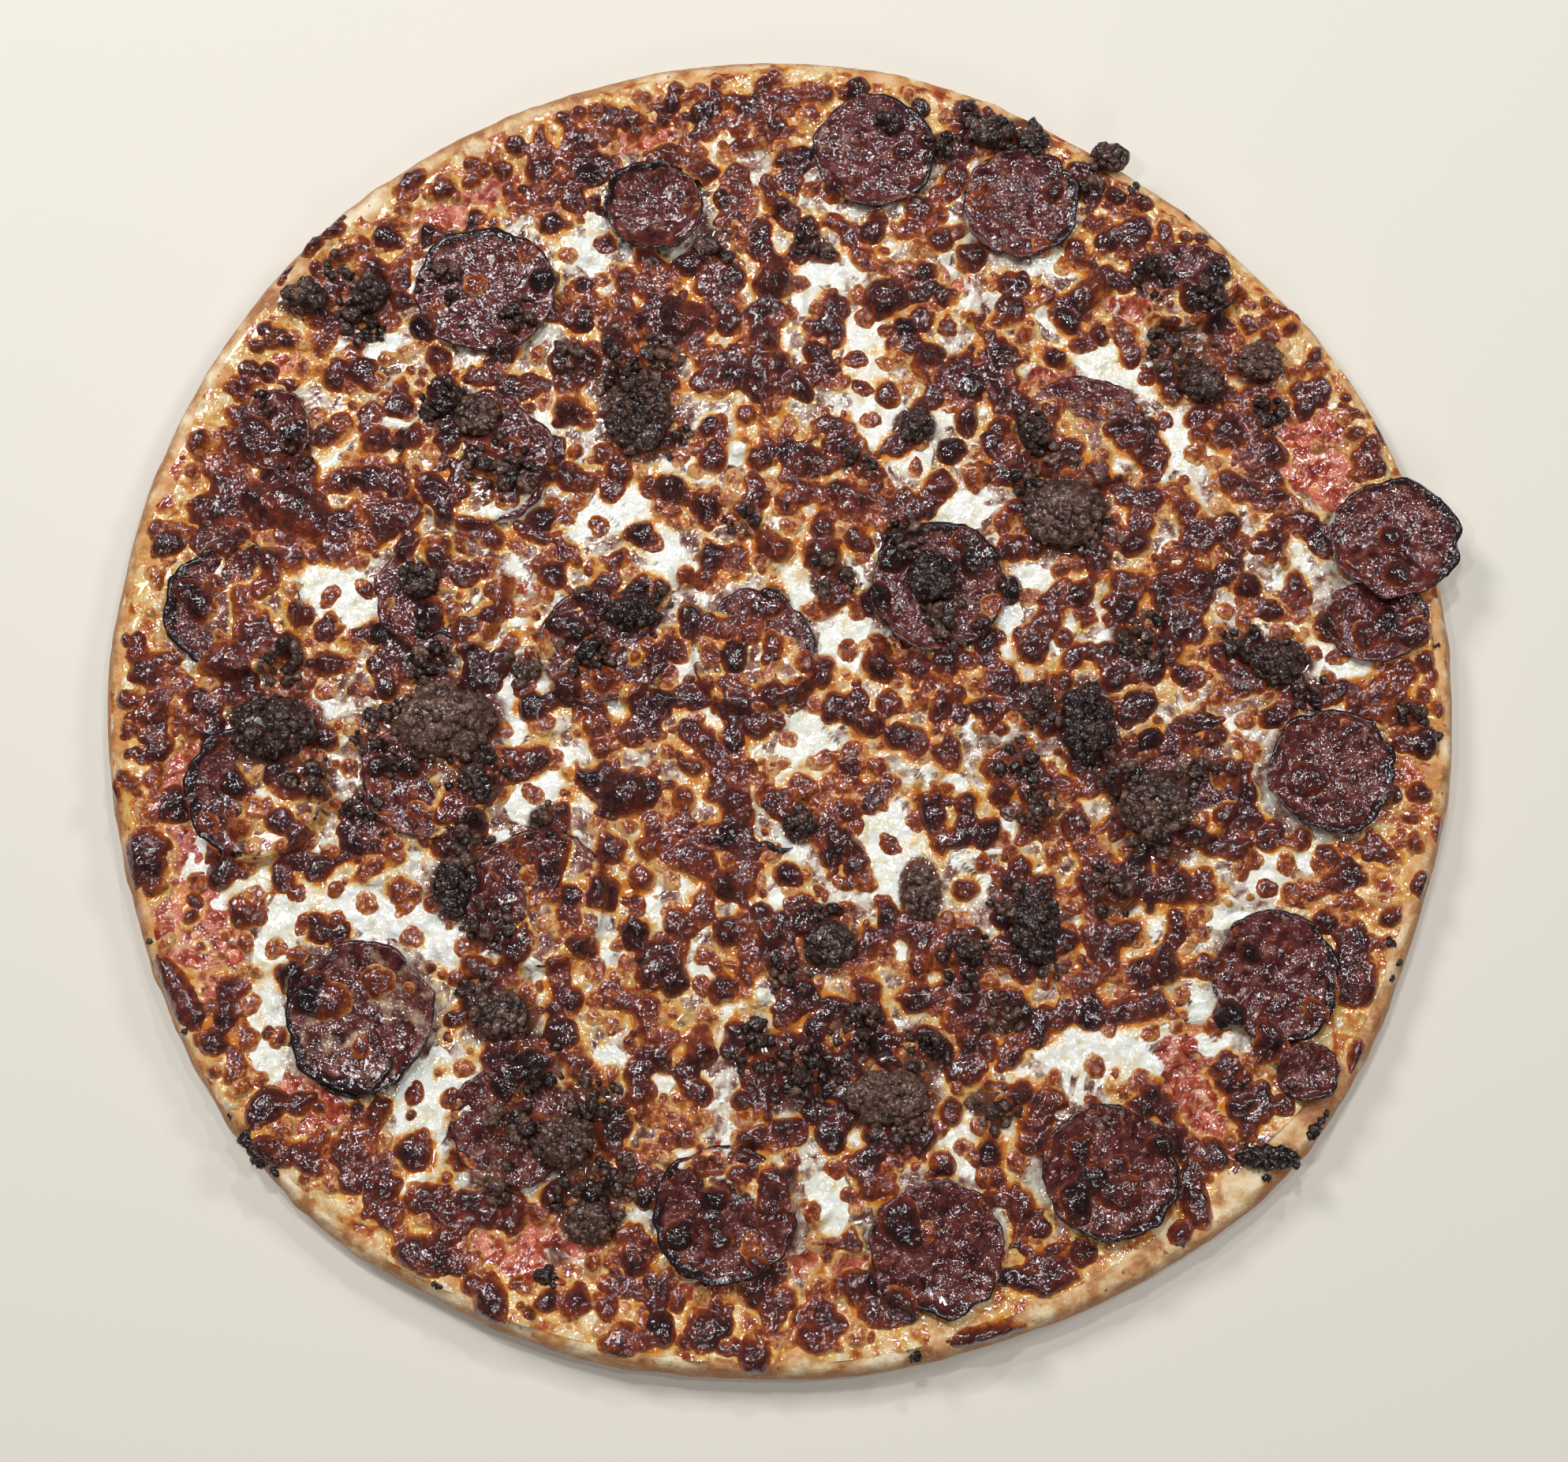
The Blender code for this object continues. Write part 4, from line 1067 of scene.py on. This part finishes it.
def make_skin(name, blisters, spacing, material, most, hidden=None):
    """Browned cheese as one skin over the food. Its edges dip under the melted cheese."""
    line = np.arange(-178.0, 178.0, spacing)
    x, y = np.meshgrid(line, line)
    x = x + 0.2 * spacing * waves(x, y, 1.7, 95)
    y = y + 0.2 * spacing * waves(x, y, 1.7, 96)
    inset = around(DOUGH_OUTLINE, direction(x, y)) - np.hypot(x, y)
    height = blisters.height.read(x, y) * smooth(1.2, 3.4, inset)
    shown = height > SKIN_FROM
    if hidden:
        shown &= height > hidden.height.read(x, y) - 0.35
    quads = shown[:-1, :-1] | shown[:-1, 1:] | shown[1:, :-1] | shown[1:, 1:]
    used = np.zeros_like(shown)
    for dy in (0, 1):
        for dx in (0, 1):
            used[dy:len(line) - 1 + dy, dx:len(line) - 1 + dx] |= quads
    index = np.full(shown.shape, -1)
    index[used] = np.arange(used.sum())
    a, b = index[:-1, :-1][quads], index[:-1, 1:][quads]
    c, d = index[1:, :-1][quads], index[1:, 1:][quads]
    faces = np.concatenate([np.stack([a, b, d], -1), np.stack([a, d, c], -1)])
    px, py, h = x[used], y[used], height[used]
    base = food_chart.read(px, py)
    z = base + h - SKIN_SINKS - 0.5 * (1.0 - smooth(0.0, 0.3, h))
    masks = {mask: getattr(blisters, mask).read(px, py) for mask in ("rise", "burn", "depth")}
    masks["on_meat"] = open_chart.read(px, py)
    piece(name, np.stack([px, py, z], -1), faces, material, masks, most)


# Dough

RIM_SECTION = (  # share of the outline's radius, height, from the bed over the crest and down to the floor
    (0.840, 6.0), (0.870, 6.4), (0.890, 7.2), (0.910, 8.5), (0.930, 9.9), (0.948, 11.1),
    (0.962, 11.9), (0.974, 12.2), (0.984, 11.6), (0.992, 10.0), (0.9975, 7.8), (1.0, 5.2), (0.998, 3.2),
    (0.991, 1.4), (0.980, 0.35), (0.965, 0.0), (0.84, 0.0),
)
DOUGH_RADIUS = 175.0
DOUGH_SECTORS = 600
FINE_STEP = 0.8      # between rings, over the crest and down the side
COARSE_STEP = 3.0    # between rings, underneath
FINE_UNTIL = 48.0    # length along the section
BED_HEIGHT = 6.0


def make_dough():
    """The crust: the rim's section taken round the outline, with a flat disc above and below."""
    sectors = DOUGH_SECTORS
    corners = np.array(RIM_SECTION)
    sides = np.hypot(np.diff(corners[:, 0] * DOUGH_RADIUS), np.diff(corners[:, 1]))
    length = np.concatenate([[0.0], np.cumsum(sides)])
    steps = np.concatenate([
        np.arange(0.0, FINE_UNTIL, FINE_STEP), np.arange(FINE_UNTIL, length[-1], COARSE_STEP)])
    share = np.interp(steps, length, corners[:, 0])
    height = np.interp(steps, length, corners[:, 1])
    for passes in range(2):
        share[1:-1] = (share[:-2] + 2 * share[1:-1] + share[2:]) / 4
        height[1:-1] = np.maximum(0.0, (height[:-2] + 2 * height[1:-1] + height[2:]) / 4)
    directions = np.arange(sectors) * 360.0 / sectors
    edge = around(DOUGH_OUTLINE, directions)
    r = share[:, None] * edge[None, :]
    x, y = places_at(r, directions)
    z = np.repeat(height[:, None], sectors, 1)
    free = smooth(0.1, 1.2, z) * smooth(0.9, 0.96, share)[:, None]
    relief = 0.45 * waves(x, y, 17.0, 1) + 0.40 * waves(x, y + z, 6.0, 2) + 0.16 * waves(x + z, y, 2.4, 3)
    swells, tag = bubbles(x, y, 9.0, 4)
    relief = relief + 0.8 * (tag > 0.6) * (1.0 - smooth(0.1, 0.55, swells))
    z = z + relief * free * (r < 0.985 * edge)
    grow = 1.0 + relief * free * 0.5 / DOUGH_RADIUS * (r > 0.97 * edge)
    points = np.stack([x * grow, y * grow, z], -1).reshape(-1, 3)
    count = len(points)
    points = np.concatenate([points, [[0.0, 0.0, BED_HEIGHT], [0.0, 0.0, 0.0]]])
    rings = len(steps)
    faces = np.concatenate([
        ring_faces(rings, sectors),
        fan_faces(count, 0, sectors),
        fan_faces(count + 1, count - sectors, sectors, upward=False),
    ])
    browning = smooth(0.955, 1.0, share)[:, None] + 0.0 * r
    browning = np.where(np.arange(rings)[:, None] > rings * 0.8, 0.6, browning)
    near = 1.0 - smooth(-1.0, 4.0, r - around(FILM_OUTLINE, directions))
    masks = {"browning": np.append(browning.ravel(), [0, 0]), "oil": np.append(near.ravel(), [0, 0])}
    ob = piece("crust", points, faces, DOUGH_FINISH, masks)
    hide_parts("dough")


SAUCE_SECTORS = 400
SAUCE_INSET = 5.0    # how far the sauce stays inside the cheese
SAUCE_WIDTH = 44.0   # of the ring of sauce that may show; the middle is one flat fan
SAUCE_STEP = 1.3


def make_sauce():
    """The sauce: a ring with relief near its edge, and a plain middle that the cheese hides."""
    sectors = SAUCE_SECTORS
    directions = np.arange(sectors) * 360.0 / sectors
    edge = around(FILM_OUTLINE, directions) - SAUCE_INSET
    edge = edge + 1.2 * waves(*places_at(9.0, directions), 1.0, 12, 2)
    reach = np.arange(0.0, SAUCE_WIDTH, SAUCE_STEP)[::-1]
    r = edge[None, :] - reach[:, None]
    x, y = places_at(r, directions)
    pulled = np.minimum(1.0, (around(SAUCE_OUTLINE, directions) - 2.0) / r)
    top = sauce_heights.read(x * pulled, y * pulled)
    bed = dough_heights.read(x, y)
    relief = 0.35 * waves(x, y, 4.5, 13, 2) + 0.15 * waves(x, y, 1.6, 14)
    thin = smooth(0.0, 3.0, reach)[:, None]
    z = np.maximum(top, bed + 0.3) * thin + (bed + 0.1) * (1 - thin) + relief * thin
    z[-1] = bed[-1] - 0.5
    points = np.stack([x, y, z], -1).reshape(-1, 3)
    count = len(points)
    points = np.concatenate([points, [[0.0, 0.0, 7.6]]])
    faces = np.concatenate([ring_faces(len(reach), sectors), fan_faces(count, 0, sectors)])
    ob = piece("tomato_sauce", points, faces, SAUCE_FINISH)
    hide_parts("sauce")


# Salami

CHARRED = {  # how black and thick a slice's rim is
    1: 0.9, 2: 1.0, 3: 1.0, 4: 0.7, 5: 0.3, 6: 1.1, 7: 0.8, 8: 0.8, 11: 0.9, 12: 1.1, 13: 0.9, 14: 0.9,
    15: 0.6, 16: 1.1, 17: 0.9, 26: 0.7,
}
VEILED = {  # how much thin cheese lies on a slice
    1: 0.45, 2: 0.4, 4: 0.1, 6: -0.4, 7: 0.0, 8: 0.0, 11: -0.1, 12: 0.15, 13: -0.1, 14: 0.1, 15: -0.1,
}
BURNT_SIDES = {  # direction of a slice's most burnt side
    1: 250, 2: 180, 3: 185, 4: 100, 5: 60, 6: 140, 7: 10, 8: 340, 11: 20, 12: 315, 13: 345, 14: 300,
    15: 260, 16: 235, 17: 80, 20: 175, 26: 300,
}


SLICE_RINGS = 20
SLICE_SECTORS = 84
SURE_SHARE = 0.86  # rings up to here lie on the solid; those further out follow their slope


def make_slice(number):
    """A slice laid on the top of its solid, with a ragged, burnt rim."""
    name = SLICES[number - 1]
    mx, my, half_x, half_y, low, high = place_of(name)
    points, triangles = node_mesh(name)
    tree = BVHTree.FromPolygons([Vector(p) for p in points], [tuple(int(i) for i in t) for t in triangles])
    rings, sectors = SLICE_RINGS, SLICE_SECTORS
    share = np.arange(1, rings + 1) / rings
    turn = np.arange(sectors) * math.tau / sectors
    wave = waves(np.cos(turn) * 2.0 + number, np.sin(turn) * 2.0, 1.0, 60 + number, 3)
    edge = 0.96 + 0.075 * wave
    x = mx + half_x * share[:, None] * (edge * np.cos(turn))[None, :]
    y = my + half_y * share[:, None] * (edge * np.sin(turn))[None, :]
    z = np.zeros_like(x)
    known = int(rings * SURE_SHARE)
    for i in range(known):
        for j in range(sectors):
            hit = tree.ray_cast(Vector((x[i, j], y[i, j], 80.0)), Vector((0, 0, -1)))[0]
            z[i, j] = hit.z if hit else z[i - 1, j]
    slope = z[known - 1] - z[known - 4]
    for i in range(known, rings):
        z[i] = z[i - 1] + slope / 3.0
    for passes in range(3):
        z = (np.roll(z, 1, 1) + 2 * z + np.roll(z, -1, 1)) / 4
    side = np.maximum(0.0, np.cos(turn - math.radians(BURNT_SIDES.get(number, 0)))) ** 1.5
    char = CHARRED.get(number, 0.5) * (0.75 + 0.55 * side)[None, :]
    ragged = waves(mx + 9.0 * np.cos(turn), my + 9.0 * np.sin(turn), 4.0, 65, 3)
    start = (0.90 - 0.08 * side + 0.05 * ragged)[None, :]
    bead = char * smooth(start, start + 0.06, share[:, None]) * (1.0 - smooth(0.985, 1.03, share)[:, None])
    z = z + 0.55 * waves(x, y, 5.0, 61, 2) + 0.26 * waves(x, y, 1.9, 62) - 0.2
    z = z + bead * (0.5 + 0.45 * waves(x, y, 3.0, 64, 2))
    count = rings * sectors
    under = np.stack([mx + (x[-1] - mx) * 0.98, my + (y[-1] - my) * 0.98, z[-1] - 0.9], -1)
    low_ring = np.stack([mx + (x[known] - mx) * 0.9, my + (y[known] - my) * 0.9, z[known] - 1.4], -1)
    points = np.concatenate([
        np.stack([x, y, z], -1).reshape(-1, 3), under, low_ring,
        [[mx, my, z[0].mean()], [mx, my, z[0].mean() - 1.5]]])
    faces = np.concatenate([
        ring_faces(rings + 2, sectors),
        fan_faces(count + 2 * sectors, 0, sectors),
        fan_faces(count + 2 * sectors + 1, count + sectors, sectors, upward=False),
    ])
    burnt = char * smooth(start - 0.03, start + 0.09, share[:, None] + 0.05 * waves(x, y, 5.0, 63, 2))
    masks = {
        "char": np.concatenate([burnt.ravel(), np.ones(sectors), np.zeros(sectors + 2)]),
        "veil": np.full(count + 2 * sectors + 2, VEILED.get(number, 0.1)),
    }
    ob = piece(f"salami_slice_{number:02d}", points, faces, SALAMI_FINISH, masks)
    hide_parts(name)


# Mince

def ball(level):
    """Points and triangles of an even ball of radius 1."""
    shape = bmesh.new()
    bmesh.ops.create_icosphere(shape, subdivisions=level, radius=1.0)
    points = np.array([v.co for v in shape.verts])
    faces = np.array([[v.index for v in face.verts] for face in shape.faces])
    shape.free()
    return points, faces


BALLS = {level: ball(level) for level in (2, 3, 4)}


def knobbly(points, knobs):
    """A ball's points moved in and out by some noises: size, step of the noise, seed, amount."""
    swell = 1.0
    for spread, shift, seed, amount in knobs:
        swell = swell + amount * solid_noise(points * spread + shift, seed)
    return points * swell[:, None]


def make_crumb_shapes():
    """A few uneven crumbs of each fineness, to be turned and stretched."""
    shapes = {}
    for level in (2, 3):
        for kind in range(8):
            points, faces = BALLS[level]
            knobs = ((1.3, 11.0 * kind, 72, 0.55), (3.1, kind, 73, 0.30))
            shapes[level, kind] = (knobbly(points, knobs), faces)
    return shapes


CRUMBS = make_crumb_shapes()


def add_crumb(heap, draw, x, y, z, r, burn, uneven=0.0):
    """One crumb, turned and stretched at random. uneven is how far its burn may stray."""
    if uneven:
        burn = float(np.clip(burn + draw.normal() * uneven, 0, 1))
    points, faces = CRUMBS[3 if r > 1.5 else 2, int(draw.integers(8))]
    turn = draw.uniform(0.0, math.tau)
    stretch = draw.uniform(0.7, 1.25, 3) * (1.0, 1.0, 0.85)
    c = math.cos(turn)
    s = math.sin(turn)
    p = points * stretch
    px, py, pz = p.T
    placed = np.stack([x + r * (px * c - py * s), y + r * (px * s + py * c), z + r * pz], -1)
    heap.add(placed, faces, burn=burn)


CHAR_STRIP = 29  # the clump that is a charred strip on the rim


def make_clump(number):
    """A clump of roasted mince: a knobbly core with crumbs stuck all over it."""
    name = CLUMPS[number - 1]
    mx, my, half_x, half_y, low, high = place_of(name)
    draw = np.random.default_rng(300 + number)
    if number == CHAR_STRIP:
        half_x, half_y, high = 0.8 * half_x, 0.7 * half_y, low + 0.7 * (high - low)
    size = max(half_x, half_y)
    tall = high - low
    burn = 1.0 if number == CHAR_STRIP else float(draw.uniform(0.1, 0.8))
    points, faces = BALLS[4 if size > 8 else 3]
    shaped = knobbly(points, ((1.6, number, 70, 0.20), (4.0, number, 71, 0.12)))
    flat = np.maximum(shaped[:, 2], -0.5)
    core = np.stack([
        mx + half_x * 0.86 * shaped[:, 0], my + half_y * 0.86 * shaped[:, 1],
        low - 0.3 + tall * 0.86 * (flat + 0.5) / 1.5], -1)
    heap = Heap()
    heap.add(core, faces, burn=burn)
    fine = 0.75 if number == CHAR_STRIP else 1.0
    for crumb in range(int(np.clip(size * size * 0.8, 10, 90))):
        q = math.sqrt(draw.uniform(0.0, 0.95))
        turn = draw.uniform(0.0, math.tau)
        r = fine * draw.uniform(0.7, 1.8)
        up = math.sqrt(max(0.0, 1.0 - q * q))
        x = mx + (half_x * 0.92 - 0.3 * r) * q * math.cos(turn)
        y = my + (half_y * 0.92 - 0.3 * r) * q * math.sin(turn)
        z = low + (tall * 0.9 - 0.8 * r) * up + 0.35 * r
        add_crumb(heap, draw, x, y, min(z, high - 0.85 * r), r, burn, 0.2)
    ob = heap.make(f"mince_clump_{number:02d}", MINCE_FINISH)
    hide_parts(name)


CRUMBS_PER_AREA = 0.32


def make_crumbs():
    """Loose crumbs in the heaps between the clumps."""
    draw = np.random.default_rng(SEED + 1)
    heap = Heap()
    for mx, my, reach in HEAPS:
        burn = draw.uniform(0.2, 0.8)
        for crumb in range(int(reach * reach * CRUMBS_PER_AREA)):
            q = draw.uniform() ** 0.6
            turn = draw.uniform(0.0, math.tau)
            x = mx + reach * q * math.cos(turn)
            y = my + reach * q * math.sin(turn)
            r = draw.uniform(0.8, 2.1) * (1.15 - 0.4 * q)
            if float(clump_heights.read(x, y)) > 1.0:
                continue
            top = float(food_chart.read(x, y)) + 0.8 * float(brown_blisters.height.read(x, y))
            z = top + 0.35 * r + 0.22 * reach * (1.0 - q) * draw.uniform()
            add_crumb(heap, draw, x, y, z, r, burn, 0.25)
    heap.make("mince_crumbs", MINCE_FINISH)


def make_charred_bits():
    """Small burnt scraps, mostly on the crust."""
    draw = np.random.default_rng(SEED + 2)
    heap = Heap()
    for mx, my, along, across, turn in CHARRED_BITS:
        c = math.cos(math.radians(turn))
        s = math.sin(math.radians(turn))
        for scrap in range(3 + int(along)):
            reach = draw.uniform(-0.8, 0.8)
            side = draw.uniform(-0.6, 0.6)
            x = mx + along * reach * c - across * side * s
            y = my + along * reach * s + across * side * c
            r = across * draw.uniform(0.5, 0.8)
            pull = min(1.0, (float(around(DOUGH_OUTLINE, direction(x, y))) - 3.0) / math.hypot(x, y))
            x *= pull
            y *= pull
            z = float(food_chart.read(x, y)) + 0.3 * r
            add_crumb(heap, draw, x, y, z, r, float(draw.uniform(0.8, 1.0)))
    heap.make("charred_bits", MINCE_FINISH)


STRINGS = (  # thickness, burn, then places along the string
    (0.7, 0.9, (-117, -99), (-112, -103), (-106, -104.5), (-101, -102.5), (-97.5, -98), (-96, -93)),
    (0.55, 0.8, (-101, -102.5), (-99.5, -106), (-100, -110), (-99.5, -114)),
    (0.7, 1.0, (-27, 142), (-24, 145), (-21, 144.5), (-19, 141)),
    (0.6, 0.9, (-92, 12), (-88, 14), (-84, 12), (-82, 14)),
    (0.9, 0.9, (-8, -42), (-4, -41), (0, -43), (3, -42)),
)


def make_strings():
    """Thin burnt threads and curled edges lying on the toppings."""
    heap = Heap()
    sides = 8
    turn = np.arange(sides) * math.tau / sides
    for thickness, burn, *places in STRINGS:
        way = np.array(places, float)
        steps = np.linspace(0, len(way) - 1, 6 * len(way))
        x = np.interp(steps, np.arange(len(way)), way[:, 0]) + 0.3 * waves(steps, steps, 2.0, 98)
        y = np.interp(steps, np.arange(len(way)), way[:, 1]) + 0.3 * waves(steps, steps, 2.0, 99)
        z = food_chart.read(x, y) + 0.45 * thickness
        run = np.hypot(np.gradient(x), np.gradient(y))
        across_x = -np.gradient(y) / run
        across_y = np.gradient(x) / run
        ends = np.minimum(steps, len(way) - 1 - steps)
        r = thickness * (0.15 + 0.85 * smooth(0.0, 0.8, ends)) * (1.0 + 0.3 * waves(x, y, 1.6, 97))
        points = np.stack([
            x[:, None] + r[:, None] * across_x[:, None] * np.cos(turn),
            y[:, None] + r[:, None] * across_y[:, None] * np.cos(turn),
            z[:, None] + r[:, None] * np.sin(turn)], -1).reshape(-1, 3)
        heap.add(points, ring_faces(len(x), sides), burn=burn)
    heap.make("burnt_strings", MINCE_FINISH)


# Stage

FLOOR_SIZE = 6.0
FLOOR_COLOUR = (226, 219, 206)


def make_floor():
    bpy.ops.mesh.primitive_plane_add(size=FLOOR_SIZE, location=(0, 0, 0))
    floor = bpy.context.object
    floor.name = "floor"
    f = Finish("pale_floor", roughness=0.7, specular=0.2)
    f.colour(tone(*FLOOR_COLOUR))
    floor.data.materials.append(f.material)


LAMP_TINT = (0.94, 0.97, 1.0)
WINDOW_TINT = (0.97, 0.98, 1.0)
LIGHTS = (  # name, place in metres, size, power, colour
    ("window", (-0.65, 0.60, 0.95), 0.30, 7.4, WINDOW_TINT),
    ("side window", (0.85, 0.45, 0.95), 0.25, 4.1, WINDOW_TINT),
    ("fill", (0.10, -1.0, 0.9), 0.30, 2.2, (1.0, 1.0, 1.0)),
    ("lamp", (-0.15, 0.45, 1.15), 0.06, 2.9, LAMP_TINT),
    ("second lamp", (0.40, 0.10, 1.15), 0.05, 1.8, LAMP_TINT),
    ("third lamp", (-0.45, -0.15, 1.15), 0.05, 1.8, LAMP_TINT),
    ("fourth lamp", (0.20, 0.75, 0.95), 0.05, 1.8, LAMP_TINT),
)
SKY = (0.90, 0.95, 1.0, 1.0)
SKY_STRENGTH = 0.07


def make_lights():
    world = bpy.data.worlds.new("studio")
    world.use_nodes = True
    sky = world.node_tree.nodes["Background"]
    sky.inputs["Color"].default_value = SKY
    sky.inputs["Strength"].default_value = SKY_STRENGTH
    bpy.context.scene.world = world
    for name, place, size, power, colour in LIGHTS:
        data = bpy.data.lights.new(name, "AREA")
        data.size = size
        data.energy = power
        data.color = colour
        ob = bpy.data.objects.new(name, data)
        ob.location = place
        ob.rotation_euler = (-Vector(place)).to_track_quat("-Z", "Y").to_euler()
        bpy.context.scene.collection.objects.link(ob)


# Camera: 10 degrees off straight down, from the photograph's lower edge

CAMERA_TILT = 10.0
CAMERA_AWAY = 0.532
CAMERA_AIM = (0.0008, -0.011, 0.006)
SENSOR = 36.0
FOCAL_PIXELS = 2600.0
PHOTO_PIXELS = 1988.0


def make_camera():
    tilt = math.radians(CAMERA_TILT)
    data = bpy.data.cameras.new("camera")
    data.sensor_width = SENSOR
    data.lens = SENSOR * FOCAL_PIXELS / PHOTO_PIXELS
    data.clip_start = 0.01
    ob = bpy.data.objects.new("camera", data)
    ob.location = Vector(CAMERA_AIM) + CAMERA_AWAY * Vector((0.0, -math.sin(tilt), math.cos(tilt)))
    ob.rotation_euler = (tilt, 0.0, 0.0)
    bpy.context.scene.collection.objects.link(ob)
    bpy.context.scene.camera = ob


make_dough()
make_sauce()
make_cheese()
for slice_number in range(1, len(SLICES) + 1):
    make_slice(slice_number)
for clump_number in range(1, len(CLUMPS) + 1):
    make_clump(clump_number)
make_skin("golden_blisters", golden_blisters, 0.5, GOLDEN_FINISH, MOST_GOLDEN, brown_blisters)
make_skin("brown_blisters", brown_blisters, 0.45, BROWN_FINISH, MOST_BROWN)
make_crumbs()
make_charred_bits()
make_strings()
make_floor()
make_lights()
make_camera()
bpy.context.scene.view_settings.view_transform = "Standard"
